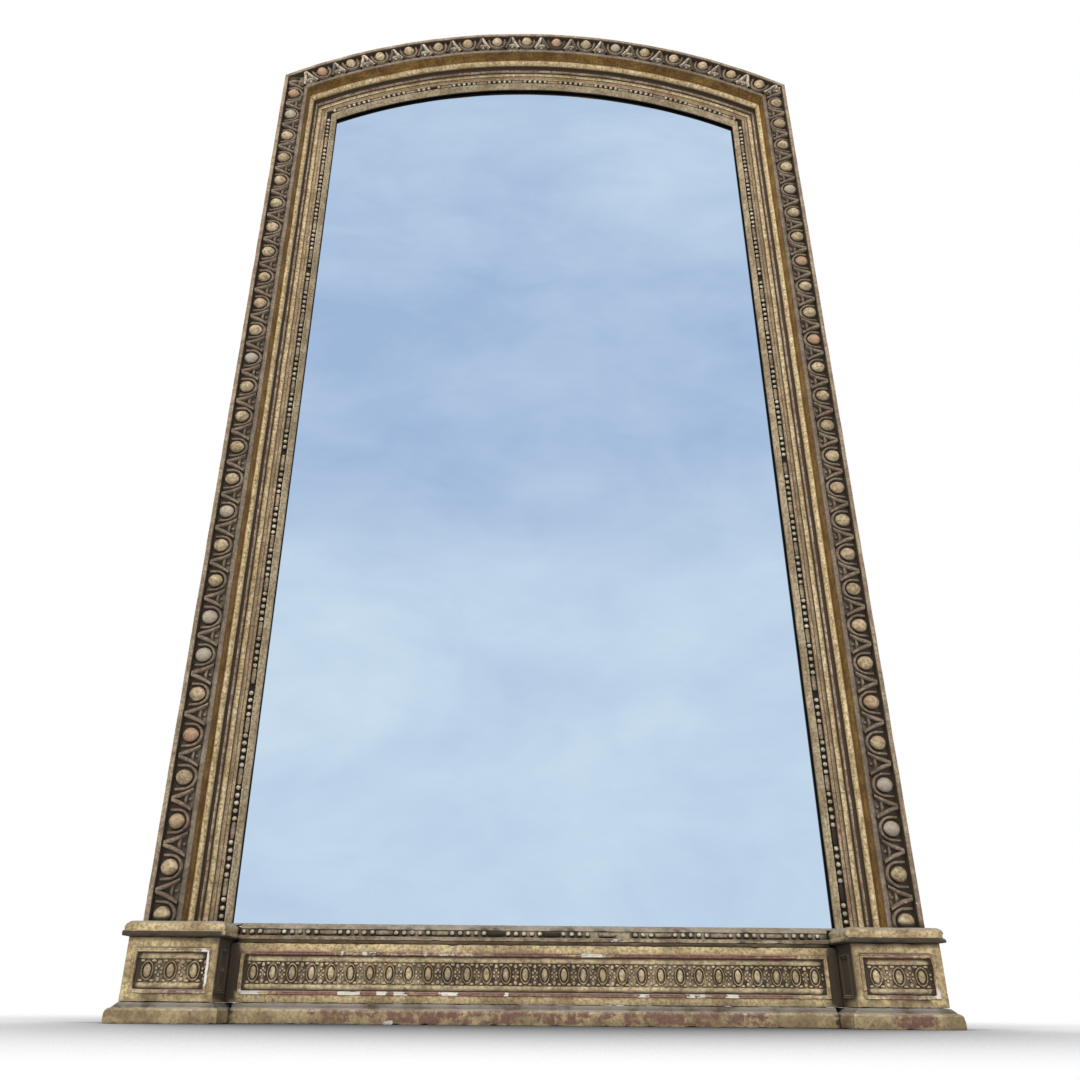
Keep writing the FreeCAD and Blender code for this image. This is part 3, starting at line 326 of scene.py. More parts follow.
GILT_LOOKS = {
    "outer lip": dict(
        Leaf=(0.20, 0.145, 0.09), Pale_leaf=(0.36, 0.285, 0.185), Rubbed=0.2, ShadeAndDirtAmount=1.0, Bright=0.2,
        Chipped=0.05, Streaked=0.5),
    "egg bed": dict(
        Leaf=(0.10, 0.074, 0.05), Pale_leaf=(0.17, 0.13, 0.088), Rubbed=0.05, ShadeAndDirtAmount=1.3, Bright=0.1,
        ShadeAndDirtColour=DARK_SHADE_AND_DIRT),
    "husks and darts": dict(
        Leaf=(0.115, 0.084, 0.055), Pale_leaf=(0.215, 0.16, 0.105), Rubbed=0.08, ShadeAndDirtAmount=1.35,
        Bright=0.15, ShadeAndDirtColour=DARK_SHADE_AND_DIRT, bump=0.7),
    "arch darts": dict(
        Leaf=(0.32, 0.26, 0.185), Pale_leaf=(0.50, 0.43, 0.32), Rubbed=0.12, ShadeAndDirtAmount=0.95, Bright=0.15,
        ShadeAndDirtColour=DARK_SHADE_AND_DIRT, bump=0.7),
    "eggs": dict(
        Leaf=(0.33, 0.245, 0.135), Pale_leaf=(0.52, 0.405, 0.245), Rubbed=0.1, ShadeAndDirtAmount=1.6, Bright=0.25,
        ShadeAndDirtColour=DARK_SHADE_AND_DIRT),
    "dusty fillet": dict(
        Leaf=(0.115, 0.088, 0.06), Pale_leaf=(0.20, 0.16, 0.115), Rubbed=0.1, ShadeAndDirtAmount=1.0, Dusty=0.4,
        Bright=0.1, bump=0.7, Streaked=0.5, Bole=(0.17, 0.085, 0.065)),
    "amber cove": dict(
        Leaf=(0.25, 0.125, 0.024), Pale_leaf=(0.42, 0.235, 0.055), Rubbed=0.0, ShadeAndDirtAmount=0.5, Bright=0.4,
        Streaked=0.35, ShadeAndDirtColour=(0.024, 0.013, 0.005)),
    "gold roll": dict(
        Leaf=(0.60, 0.43, 0.205), Pale_leaf=(0.80, 0.625, 0.36), Rubbed=0.0, ShadeAndDirtAmount=0.85, Bright=0.4,
        Cracked=0.8, Streaked=0.25, ShadeAndDirtColour=(0.045, 0.028, 0.012)),
    "worn fascia": dict(
        Leaf=(0.30, 0.22, 0.135), Pale_leaf=(0.52, 0.41, 0.28), Rubbed=0.24, ShadeAndDirtAmount=1.1, Bright=0.2,
        Cracked=0.6, Streaked=0.7, Bole=(0.13, 0.055, 0.05)),
    "gold ridge": dict(
        Leaf=(0.52, 0.38, 0.19), Pale_leaf=(0.72, 0.565, 0.335), Rubbed=0.1, ShadeAndDirtAmount=1.0, Bright=0.35,
        Cracked=0.8, Streaked=0.4),
    "gold fascia": dict(
        Leaf=(0.25, 0.175, 0.092), Pale_leaf=(0.42, 0.315, 0.18), Rubbed=0.16, ShadeAndDirtAmount=1.0, Bright=0.25,
        Cracked=0.7, Streaked=0.8),
    "bead bed": dict(
        Leaf=(0.10, 0.076, 0.05), Pale_leaf=(0.17, 0.135, 0.09), Rubbed=0.05, ShadeAndDirtAmount=1.3, Bright=0.1,
        ShadeAndDirtColour=(0.012, 0.009, 0.006), Streaked=0.4),
    "bead bars": dict(
        Leaf=(0.17, 0.13, 0.085), Pale_leaf=(0.30, 0.235, 0.155), Rubbed=0.1, ShadeAndDirtAmount=1.0, Bright=0.15,
        ShadeAndDirtColour=(0.02, 0.015, 0.01)),
    "beads": dict(
        Leaf=(0.40, 0.335, 0.225), Pale_leaf=(0.58, 0.51, 0.38), Rubbed=0.05, ShadeAndDirtAmount=1.5, Bright=0.25,
        ShadeAndDirtColour=(0.012, 0.009, 0.006)),
    "sight lip": dict(
        Leaf=(0.30, 0.222, 0.122), Pale_leaf=(0.46, 0.365, 0.225), Rubbed=0.06, ShadeAndDirtAmount=0.8, Bright=0.2,
        Streaked=0.35),
    # near black: painted shade on the rebate's faces round the glass
    "rebate in painted shade": dict(
        Leaf=(0.006, 0.005, 0.004), Pale_leaf=(0.010, 0.008, 0.006), Rubbed=0.0, ShadeAndDirtAmount=0.6, Bright=0.0,
        ShadeAndDirtColour=(0.004, 0.0035, 0.003)),
    "ochre side": dict(
        Leaf=(0.24, 0.155, 0.065), Pale_leaf=(0.36, 0.25, 0.12), Rubbed=0.26, ShadeAndDirtAmount=0.8, Bright=0.1,
        Chipped=0.08),
    "base gold": dict(
        Leaf=(0.30, 0.215, 0.107), Pale_leaf=(0.53, 0.41, 0.215), Rubbed=0.12, ShadeAndDirtAmount=1.45, Bright=0.2,
        Dusty=0.9, Chipped=0.02, bump=0.9),
    "panel gold": dict(
        Leaf=(0.33, 0.24, 0.125), Pale_leaf=(0.58, 0.455, 0.26), Rubbed=0.16, ShadeAndDirtAmount=1.4, Bright=0.2,
        Dusty=0.6, bump=0.7),
    "rail gold": dict(
        Leaf=(0.22, 0.16, 0.095), Pale_leaf=(0.38, 0.295, 0.185), Rubbed=0.16, ShadeAndDirtAmount=1.2, Bright=0.15,
        Dusty=0.7, bump=0.8),
    "frieze": dict(
        Leaf=(0.33, 0.245, 0.135), Pale_leaf=(0.52, 0.41, 0.24), Rubbed=0.06, ShadeAndDirtAmount=1.6, Bright=0.2,
        Dusty=0.3, ShadeAndDirtColour=(0.04, 0.028, 0.018), bump=0.7),
    "frieze bed": dict(
        Leaf=(0.12, 0.088, 0.055), Pale_leaf=(0.34, 0.255, 0.15), Rubbed=0.06, ShadeAndDirtAmount=1.2, Bright=0.1,
        Dusty=0.3, ShadeAndDirtColour=(0.04, 0.028, 0.018), bump=0.7),
}
WOOD_LOOKS = {
    "frame wood": dict(Along_X=0.0),
    "back boards": dict(Along_X=1.0, Light=(0.22, 0.145, 0.085), Dark=(0.085, 0.055, 0.034)),
    "block wood": dict(Along_X=0.0, Light=(0.34, 0.22, 0.12), Dark=(0.15, 0.09, 0.05)),
}
FINISH = {name: gilt(name, **looks) for name, looks in GILT_LOOKS.items()}
FINISH.update({name: wood(name, **looks) for name, looks in WOOD_LOOKS.items()})


def make_iron():
    material, shop, shader = new_material("rusted nail", Metallic=0.6)
    place = shop.place()
    rust = shop.ramp(shop.grain(place, 900.0, 4.0, 0.7), 0.4, 0.65)
    shop.feed(shader.inputs["Base Color"], shop.mix(rust, (0.045, 0.038, 0.034), (0.13, 0.05, 0.022)))
    shop.feed(shader.inputs["Roughness"], shop.plus(0.5, shop.times(rust, 0.35)))
    return material


def make_plate():
    """Old silvered plate: a painted reflection of pale-blue clouds, painted shade along its sides and top,
    and painted at the back.
    """
    material, shop, shader = new_material("silvered plate", Metallic=1.0, Roughness=0.015)
    place = shop.place()
    # painted reflection: pale clouds over a deeper blue, laid into the plate's colour
    swept = shop.stretched(place, 1.0, 1.0, 1.7)
    big = shop.grain(swept, 2.1, 6.0, 0.55, 0.6)
    soft = shop.grain(swept, 6.5, 5.0, 0.6, 0.4)
    split = shop.add("ShaderNodeSeparateXYZ", {"Vector": place})
    low = shop.times(shop.ramp(split.outputs["Z"], 0.90, 0.50), 0.62)
    high = shop.times(shop.ramp(split.outputs["Z"], 1.10, 1.50), 0.22)
    bank = shop.add("ShaderNodeVectorMath", {1: (0.27, 0.0, 1.43)}, operation="DISTANCE")
    shop.feed(bank.inputs[0], place)
    bright = shop.times(shop.ramp(bank.outputs["Value"], 0.34, 0.04), 0.42)
    drift = shop.plus(shop.times(shop.plus(big, -0.5), 1.15), shop.times(shop.plus(soft, -0.5), 0.55))
    reflected_cloud = shop.maths("ADD", shop.plus(0.16, low, high, bright), drift, clamp=True)
    painted_reflection = shop.mix(reflected_cloud, (0.345, 0.478, 0.700), (0.585, 0.720, 0.850))
    reach = shop.add("ShaderNodeVectorMath", operation="LENGTH")
    above = shop.plus(split.outputs["Z"], -CENTRE)
    flat = shop.add("ShaderNodeCombineXYZ", {"X": split.outputs["X"], "Z": above})
    shop.feed(reach.inputs[0], flat.outputs[0])
    # painted shade: a near-black band along the sight edge, over the arch and down both sides, where the
    # rebate's shade shows in the glass
    sight = RADIUS - MOULDING
    over = shop.times(
        shop.ramp(reach.outputs["Value"], sight - 0.0115, sight - 0.0095),
        shop.ramp(split.outputs["Z"], 1.3, 1.4))
    right = shop.ramp(split.outputs["X"], SIGHT_HALF - 0.0058, SIGHT_HALF - 0.0045)
    left = shop.ramp(split.outputs["X"], 0.0036 - SIGHT_HALF, 0.0028 - SIGHT_HALF)
    edge = shop.maths("MAXIMUM", over, shop.maths("MAXIMUM", right, left))
    painted_reflection = shop.mix(edge, painted_reflection, (0.012, 0.012, 0.014))
    painted_back = shop.ramp(shop.facing()["Y"], 0.4, 0.6)
    shop.feed(shader.inputs["Base Color"], shop.mix(painted_back, painted_reflection, (0.060, 0.042, 0.034)))
    return material


FINISH["nails"] = make_iron()
FINISH["plate"] = make_plate()


# ---- putting pieces together ----


def add_object(name, data):
    thing = bpy.data.objects.new(name, data)
    bpy.context.scene.collection.objects.link(thing)
    return thing


def piece(name, bm, finishes, stands_for=(), smooth=35.0):
    """Turns a mesh into a named piece of the object that rides on its body."""
    bmesh.ops.recalc_face_normals(bm, faces=bm.faces[:])
    for edge in bm.edges:
        if len(edge.link_faces) == 2:
            edge.smooth = edge.calc_face_angle(0.0) < math.radians(smooth)
    for face in bm.faces:
        face.smooth = True
    mesh = bpy.data.meshes.new(name)
    bm.to_mesh(mesh)
    bm.free()
    for finish in finishes:
        mesh.materials.append(FINISH[finish])
    thing = add_object(name, mesh)
    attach(thing, "root")
    if stands_for:
        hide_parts(*stands_for)
    pieces.append(thing)
    return thing


def edges_in(items):
    return [item for item in items if isinstance(item, bmesh.types.BMEdge)]


def verts_in(items):
    return [item for item in items if isinstance(item, bmesh.types.BMVert)]


def move(bm, by, verts=None):
    bmesh.ops.translate(bm, verts=verts or bm.verts[:], vec=by)


def rotate(bm, axis, angle, verts=None):
    """Turns about the origin."""
    matrix = Matrix.Rotation(angle, 3, axis)
    bmesh.ops.rotate(bm, verts=verts or bm.verts[:], cent=(0, 0, 0), matrix=matrix)


def sweep_round(bm, wire, axis, angle, steps, **options):
    bmesh.ops.spin(bm, geom=wire, cent=(0, 0, 0), axis=axis, angle=angle, steps=steps, **options)


def sweep_straight(bm, wire, axis, length, steps):
    sweep_round(bm, wire, axis, 0.0, steps, dvec=Vector(axis) * (length / steps))


def tone_layer(bm):
    return bm.verts.layers.float.get("tone") or bm.verts.layers.float.new("tone")


def stamp(target, pattern, matrix, tone=0.5):
    """Adds a copy of a pattern mesh to the target at that place."""
    layer = tone_layer(target)
    before = len(target.verts)
    copy = pattern.copy()
    copy.transform(matrix)
    target.from_mesh(copy)
    bpy.data.meshes.remove(copy)
    target.verts.ensure_lookup_table()
    for vert in target.verts[before:]:
        vert[layer] = tone


def pattern_mesh(bm, name):
    mesh = bpy.data.meshes.new(name)
    bm.to_mesh(mesh)
    bm.free()
    return mesh


def closed_wire(bm, points):
    verts = [bm.verts.new(point) for point in points]
    edges = [bm.edges.new((verts[i - 1], verts[i])) for i in range(len(verts))]
    return verts + edges


def open_wire(bm, points):
    verts = [bm.verts.new(point) for point in points]
    edges = [bm.edges.new(pair) for pair in zip(verts, verts[1:])]
    return verts + edges


def shut(bm):
    """Closes every open end."""
    rim = [edge for edge in bm.edges if len(edge.link_faces) == 1]
    bmesh.ops.holes_fill(bm, edges=rim, sides=0)


def saw(bm, point, normal, clear_outer=True):
    """Cuts away what lies on the normal's side, or only cuts the faces there."""
    geometry = bm.verts[:] + bm.edges[:] + bm.faces[:]
    bmesh.ops.bisect_plane(
        bm, geom=geometry, dist=1e-6, plane_co=point, plane_no=normal, clear_outer=clear_outer)


def mitre(hand):
    """A point on the mitre plane of that side (1 left, -1 right) and its normal, up and outwards
    of the stile."""
    point = Vector((-hand * HALF, 0, CORNER))
    normal = Vector((hand * MITRE_SLOPE, 0, 1)).normalized()
    return point, normal


def cut_mitres(bm, hand):
    """Cuts a piece of a stile at its mitre, or a piece of the arch (hand 0) at both."""
    if hand:
        saw(bm, *mitre(hand))
        return
    for end in (1, -1):
        point, normal = mitre(end)
        saw(bm, point, -normal)


def cross_cuts(bm, axis, step):
    """Cuts long faces into lengths, so that wear can follow them."""
    values = [vert.co[axis] for vert in bm.verts]
    low, high = min(values), max(values)
    count = max(int((high - low) / step), 1)
    normal = Vector((axis == 0, axis == 1, axis == 2))
    for i in range(1, count):
        saw(bm, normal * (low + (high - low) * i / count), normal, clear_outer=False)


def hand_made(bm, amount, grain):
    """A hand's unevenness: the surface wanders a little."""
    for vert in bm.verts:
        vert.co += noise.noise_vector(vert.co * grain) * amount


# ---- the frame moulding ----

# in from the outer edge, depth behind the lip, both in mm, and how dark that place is toned, with painted
# shade and soiling in the hollows and on the roll's flanks
SECTION = [
    (0, 85, 0.2), (0, 40, 0.2), (0, 2, 0.15), (0.6, 0.6, 0), (2, 0, 0), (5.4, 0, 0.15), (6.6, 0.6, 0.4),
    (7, 2, 0.9), (7.4, 9.5, 1.2), (8.6, 10.4, 1.2), (9.6, 9.8, 0.9), (12, 8.6, 0.2), (20, 8.0, 0.1),
    (28, 8.2, 0.1), (36, 9.0, 0.2), (38.0, 9.4, 0.7), (38.3, 7.6, 0.4), (39.2, 7, 0.1), (42, 6.8, 0),
    (44.6, 7, 0.2), (45.5, 7.8, 0.7), (45.7, 11, 0.8), (45.6, 16, 0.30), (45.8, 21, 0.35),
    (46.2, 24.6, 1.1), (47.0, 25.8, 0.95), (48.3, 25.5, 0.55), (50.0, 26.2, 0.2), (51.6, 27.5, 0),
    (52.9, 29.4, 0.05), (53.7, 31.7, 0.5), (53.9, 34.3, 1.0), (53.4, 37.4, 1.2), (53.2, 39.4, 1.3),
    (53.8, 41.0, 1.1), (55.4, 41.8, 1.1), (56.4, 41.3, 0.3), (58.2, 41.9, 0.1), (59.0, 43.4, 0.4),
    (59.4, 46.4, 1.0), (60.0, 47.0, 0.8), (60.9, 45.6, 0.1), (62.8, 44.8, 0), (65.6, 45.0, 0),
    (67.0, 46.2, 0.2), (67.8, 46.9, 0.9), (70.4, 46.5, 0.35), (73.0, 46.4, 0.3), (74.4, 46.8, 0.8),
    (75.0, 46.0, 0.05), (77.4, 45.8, 0.05), (78.8, 46.2, 0.4), (79.6, 48.6, 1.0), (80.4, 49.8, 1.1),
    (84, 50.0, 1.0), (87.4, 49.6, 1.0), (88.2, 46.8, 0.6), (88.9, 45.9, 0.1), (89.8, 46.0, 0),
    (92.4, 49.2, 0), (94.6, 51.8, 0.15), (96.2, 53.6, 0.55), (96.9, 54.4, 0.8), (97, 55.6, 1), (97, 57.5, 1),
    (83, 57.5, 1), (83, 71, 0.5), (62, 71, 0.3), (62, 85, 0.3),
]
# what a run has past its mitre before it is cut, in metres on a stile and radians on the arch
SPARE = 0.01

# the finish up to that far in, on the parts that show from the front
FRONT_ZONES = [
    (7.1, "outer lip"), (38.2, "egg bed"), (45.55, "dusty fillet"), (47.1, "amber cove"),
    (54.0, "gold roll"), (60.0, "worn fascia"), (67.4, "gold ridge"), (79.3, "gold fascia"),
    (88.3, "bead bed"), (97.1, "sight lip"),
]
FRAME_FINISHES = [finish for limit, finish in FRONT_ZONES] + ["rebate in painted shade", "ochre side", "frame wood"]


def frame_finish(inwards, depth):
    """Which finish lies at that place on the moulding, both in mm."""
    if depth > 57.4 and inwards > 0.3:
        return "frame wood" if inwards < 83.1 else "rebate in painted shade"
    if inwards < 0.3:
        return "ochre side"
    if inwards > 96.4 and depth > 54.0:
        return "rebate in painted shade"
    if 8.2 < depth < 25 and 44 < inwards < 46.5:
        return "amber cove"
    if 39.9 < depth < 46 and inwards < 57:
        return "worn fascia"
    return next(finish for limit, finish in FRONT_ZONES if inwards <= limit)


def across_and_along(place, hand):
    """Where a point lies on the moulding, in mm: in from the outer edge, and along the run."""
    if hand:
        return (HALF - abs(place.x)) / MM, place.z / MM
    reach = math.hypot(place.x, place.z - CENTRE)
    return (RADIUS - reach) / MM, math.atan2(place.x, place.z - CENTRE) * RADIUS / MM


def finish_moulding(bm, name, node, hand):
    """Mitres a swept moulding, gives its faces their finishes and makes it a piece."""
    cut_mitres(bm, hand)
    for face in bm.faces:
        middle = face.calc_center_median()
        inwards, along = across_and_along(middle, hand)
        face.material_index = FRAME_FINISHES.index(frame_finish(inwards, (middle.y - LIP_Y) / MM))
    shut(bm)
    hand_made(bm, 0.0005, 24.0)
    mouldings[piece(name, bm, FRAME_FINISHES, (node,))] = hand


def make_stile(name, hand):
    bm = bmesh.new()
    points = [(-hand * (HALF - i * MM), LIP_Y + d * MM, CAP_TOP) for i, d, shade_and_dirt in SECTION]
    sweep_straight(bm, closed_wire(bm, points), (0, 0, 1), CORNER - CAP_TOP + SPARE, 150)
    finish_moulding(bm, name + "_moulding", name, hand)


def make_arch():
    bm = bmesh.new()
    sweep = math.asin(HALF / RADIUS) + SPARE
    points = [(0, LIP_Y + d * MM, RADIUS - i * MM) for i, d, shade_and_dirt in SECTION]
    wire = closed_wire(bm, points)
    rotate(bm, "Y", -sweep)
    sweep_round(bm, wire, (0, 1, 0), 2 * sweep, 120)
    move(bm, (0, 0, CENTRE))
    finish_moulding(bm, "arch_moulding", "arch_rail", 0)


# ---- egg and dart ----

# a pattern is made in mm: X along the run, Y in from the outer edge, Z out of the moulding
FOOT = -9.5
EGG_MIDDLE = 21.6
HUSK_MIDDLE = 21.0


def on_stile(hand):
    def place(along, inwards, out):
        return Vector((-hand * (HALF - inwards * MM), LIP_Y - out * MM, CAP_TOP + along * MM))
    return place


def on_arch(line):
    """The run's length is measured on that line, in metres from the outer edge."""
    def place(along, inwards, out):
        turn = along * MM / (RADIUS - line)
        reach = RADIUS - inwards * MM
        return Vector((reach * math.sin(turn), LIP_Y - out * MM, CENTRE + reach * math.cos(turn)))
    return place


def lay(bm, place):
    for vert in bm.verts:
        vert.co = place(*vert.co)


def dome(bm, centre, radii, segments=12, rings=8):
    """A ball with those three radii about the centre."""
    made = bmesh.ops.create_uvsphere(bm, u_segments=segments, v_segments=rings, radius=1.0)["verts"]
    bmesh.ops.scale(bm, verts=made, vec=radii)
    bmesh.ops.translate(bm, verts=made, vec=centre)
    return made


def drawn_strip(bm, section, stations):
    """A section drawn along: each station is (x, y, width share, height share). The section is
    (across, height) and stands across X. What lies at the foot stays there."""
    def row(x, y, wide, high):
        return [(x + a * wide, y, h if h == FOOT else h * high) for a, h in section]

    edges = edges_in(open_wire(bm, row(*stations[0])))
    for station in stations[1:]:
        made = bmesh.ops.extrude_edge_only(bm, edges=edges)["geom"]
        verts = verts_in(made)
        edges = [edge for edge in edges_in(made) if edge.verts[0] in verts and edge.verts[1] in verts]
        verts.sort(key=lambda vert: vert.co.x)
        for vert, place in zip(verts, row(*station)):
            vert.co = place


def egg_pattern():
    """One egg, blunt at the outer end and drawn in towards the glass."""
    bm = bmesh.new()
    verts = dome(bm, (0, 0, 0), (11.0, 12.4, 11.6), 16, 12)
    for vert in verts:
        drawn_in = max(vert.co.y / 12.4, 0.0)
        vert.co.x *= 1.0 - 0.26 * drawn_in**2
    rotate(bm, "X", math.radians(4))
    move(bm, (0, EGG_MIDDLE, -8.0))
    saw(bm, (0, 0, FOOT), (0, 0, -1))
    return pattern_mesh(bm, "egg")


def husk_pattern():
    """The rim round an egg, open to the outer edge."""
    bm = bmesh.new()
    rim = [(12.6, FOOT), (12.9, -5.0), (13.8, -3.2), (15.3, -2.6), (16.8, -3.4), (17.6, FOOT)]
    wire = open_wire(bm, [(r, 0, h) for r, h in rim])
    sweep_round(bm, wire, (0, 0, 1), math.pi, 14)
    move(bm, (0, HUSK_MIDDLE, 0))
    ends = [edge for edge in bm.edges if all(abs(v.co.y - HUSK_MIDDLE) < 0.01 for v in edge.verts)]
    for vert in verts_in(bmesh.ops.extrude_edge_only(bm, edges=ends)["geom"]):
        vert.co.y = 10.6
        vert.co.x *= 1.02
        vert.co.z = max(vert.co.z - 2.0, FOOT)
    return pattern_mesh(bm, "husk")


def dart_pattern():
    """A dart like a letter A: its point at the outer edge, its feet spread under the eggs."""
    bm = bmesh.new()
    leg = [(-3.3, FOOT), (-2.9, -2.6), (-1.2, -0.9), (1.2, -0.9), (2.9, -2.6), (3.3, FOOT)]
    for side in (-1, 1):
        drawn_strip(bm, leg, [
            (side * x, y, wide, high) for x, y, wide, high in (
                (1.2, 9.6, 0.85, 0.8), (2.4, 14, 0.95, 0.6), (4.6, 20, 1.0, 0.9), (7.6, 26.5, 1.05, 1.5),
                (11.0, 32.5, 1.1, 2.2), (14.4, 37.9, 1.0, 3.2),
            )
        ])
    bar = [(-2.2, FOOT), (-1.6, -4.4), (0, -3.6), (1.6, -4.4), (2.2, FOOT)]
    legs = set(bm.verts)
    drawn_strip(bm, bar, [(0, -7.0, 1, 1), (0, 0, 1, 0.85), (0, 7.0, 1, 1)])
    crossbar = [vert for vert in bm.verts if vert not in legs]
    rotate(bm, "Z", math.radians(90), crossbar)
    move(bm, (0, 28.6, 0), crossbar)
    dome(bm, (0, 34.0, -7.6), (2.6, 2.6, 2.6), 8, 6)
    return pattern_mesh(bm, "dart")


def corner_leaf(bm):
    """Lobes fanned over the mitre, from the outer corner towards the glass."""
    for turn, long, wide, out in ((-34, 11, 3.6, 4.4), (0, 13, 4.2, 5.4), (34, 11, 3.6, 4.4)):
        verts = dome(bm, (0, 0, 0), (wide, long, out), 10, 8)
        for vert in verts:
            vert.co.x *= 1.0 - 0.4 * max(vert.co.y / long, 0.0)
        move(bm, (0, long * 0.9, 0), verts)
        rotate(bm, "Z", -math.radians(turn), verts)
    dome(bm, (0, 3.0, 0.6), (4.2, 4.2, 4.6), 10, 8)


EGG_TONES = [0.5, 0.5, 0.5, 0.5, 0.5, 0.5, 0.42, 0.58, 0.18, 0.12, 0.72, 0.85]


def ornament_row(pattern, places, lift, tones):
    """Copies of a pattern at those places along X, no two quite alike."""
    bm = bmesh.new()
    tone_layer(bm)
    for along in places:
        swell = Matrix.Scale(1.0 + dice.uniform(-0.05, 0.04), 4)
        about = Matrix.Translation((0, EGG_MIDDLE, 0)) @ swell @ Matrix.Translation((0, -EGG_MIDDLE, 0))
        up = dice.uniform(-lift, lift * 0.6)
        stamp(bm, pattern, Matrix.Translation((along, 0, up)) @ about, dice.choice(tones))
    bpy.data.meshes.remove(pattern)
    return bm


def make_egg_runs():
    first, count = 8.0, 27
    step = (CORNER - CAP_TOP) / MM / count
    upright = [first + step * i for i in range(count)]
    arch_step, arch_count, arch_shift = 59.5, 16, 12.0
    curved = [(i - (arch_count - 1) / 2) * arch_step + arch_shift for i in range(arch_count)]
    runs = (
        ("left", upright, step, on_stile(1), 1), ("right", upright, step, on_stile(-1), -1),
        ("arch", curved, arch_step, on_arch(EGG_LINE), 0),
    )
    for side, places, pitch, place, hand in runs:
        between = [along + pitch / 2 for along in places]
        if not hand:
            between.insert(0, places[0] - pitch / 2)
        rows = (
            ("eggs", "eggs", ornament_row(egg_pattern(), places, 0.6, EGG_TONES)),
            ("husks", "husks and darts", ornament_row(husk_pattern(), places, 0.5, [0.5])),
            ("darts", "husks and darts" if hand else "arch darts",
             ornament_row(dart_pattern(), between, 0.5, [0.5, 0.5, 0.42, 0.6])),
        )
        for what, finish, bm in rows:
            lay(bm, place)
            cut_mitres(bm, hand)
            if hand:
                saw(bm, (0, 0, CAP_TOP), (0, 0, -1))
            hand_made(bm, 0.0005, 110.0)
            stands = (side + "_egg_and_dart",) if what == "eggs" else ()
            piece(side + "_" + what, bm, [finish], stands, 60.0)
    for hand, side in ((1, "left"), (-1, "right")):
        bm = bmesh.new()
        corner_leaf(bm)
        lean = math.atan(MITRE_SLOPE)
        for vert in bm.verts:
            x, y, out = vert.co
            along_in = y + 9.0
            inwards = along_in * math.cos(lean) + x * math.sin(lean)
            rise = -along_in * math.sin(lean) + x * math.cos(lean)
            vert.co = (-hand * (HALF - inwards * MM), LIP_Y - (out - 7.5) * MM, CORNER + rise * MM)
        piece(side + "_corner_leaf", bm, ["eggs"], (), 60.0)


# ---- bead and bar ----


# in mm; a bar keeps its half length clear of the run's ends
BEAD_STEP = 10.3
GROUP_STEP = 72.0
BAR_HALF = 8
BEAD_DEPTH = 46.9
BEAD_FINISHES = ["beads", "bead bars"]
BEAD_TONES = (0.5, 0.5, 0.5, 0.25)


def bead_pattern():
    bm = bmesh.new()
    dome(bm, (0, 0, 0), (3.5, 3.5, 3.9), 9, 7)
    saw(bm, (0, 0, -2.6), (0, 0, -1))
    return pattern_mesh(bm, "bead")


def bar_pattern():
    bm = bmesh.new()
    verts = dome(bm, (0, 0, 0), (2.6, 3.4, 2.9), 10, 8)
    for vert in verts:
        vert.co.x += 9.0 if vert.co.x > 0.01 else -9.0 if vert.co.x < -0.01 else 0.0
    saw(bm, (0, 0, -2.0), (0, 0, -1))
    for face in bm.faces:
        face.material_index = BEAD_FINISHES.index("bead bars")
    return pattern_mesh(bm, "bar")


def bead_run(first, count, low, high, lost):
    """Groups of five beads with a bar after each, as a mesh along X."""
    bead, bar = bead_pattern(), bar_pattern()
    bm = bmesh.new()
    tone_layer(bm)
    for group in range(-1, count + 1):
        middle = first + group * GROUP_STEP
        for number in range(5):
            along = middle + (number - 2) * BEAD_STEP
            if low < along < high and (group, number) not in lost:
                at = (along, dice.uniform(-0.25, 0.25), dice.uniform(-0.6, 0.1))
                stamp(bm, bead, Matrix.Translation(at), dice.choice(BEAD_TONES))
        along = middle + GROUP_STEP / 2
        if low + BAR_HALF < along < high - BAR_HALF:
            stamp(bm, bar, Matrix.Translation((along, 0, -0.9)), 0.5)
    bpy.data.meshes.remove(bead)
    bpy.data.meshes.remove(bar)
    return bm


def make_bead_runs():
    length = (CORNER - CAP_TOP - BEAD_LINE * MITRE_SLOPE) / MM
    upright = ((length - 19 * GROUP_STEP) / 2 + 20, 20, 3, length - 3, ((3, 4), (9, 0), (14, 2)))
    span = math.asin((HALF - BEAD_LINE) / (RADIUS - BEAD_LINE)) * (RADIUS - BEAD_LINE) / MM
    curved = (-5.0 * GROUP_STEP, 11, 4 - span, span - 4, ((2, 3),))
    runs = (
        ("left", upright, on_stile(1)), ("right", upright, on_stile(-1)),
        ("arch", curved, on_arch(BEAD_LINE)),
        ("bottom", (22 - 4.5 * GROUP_STEP, 10, -377, 377, ((5, 4), (6, 0), (6, 1))), None),
    )
    for side, run, place in runs:
        bm = bead_run(*run)
        if place:
            move(bm, (0, BEAD_LINE / MM, -BEAD_DEPTH))
            lay(bm, place)
        else:
            for vert in bm.verts:
                x, y, out = vert.co
                vert.co = (x * MM, LIP_Y + (BEAD_DEPTH - out) * MM, 0.105 + y * MM)
        piece(side + "_beads", bm, BEAD_FINISHES, (side + "_bead_run",), 60.0)


# ---- base ----


def bridged(bm, outlines):
    """Joins each closed outline to the next."""
    loops = [edges_in(closed_wire(bm, outline)) for outline in outlines]
    for before, after in zip(loops, loops[1:]):
        bmesh.ops.bridge_loops(bm, edges=before + after)


def moulded_block(x0, x1, y0, profile, draw_in):
    """A block built up of outlines: profile is (height in mm, inset in mm)."""
    bm = bmesh.new()
    outlines = []
    for height, inset in profile:
        side = inset * MM if draw_in else 0.0
        left, right, front = x0 + side, x1 - side, y0 + inset * MM
        plan = [(left, front), (right, front), (right, BACK_Y), (left, BACK_Y)]
        outlines.append([(x, y, height * MM) for x, y in plan])
    bridged(bm, outlines)
    shut(bm)
    return bm


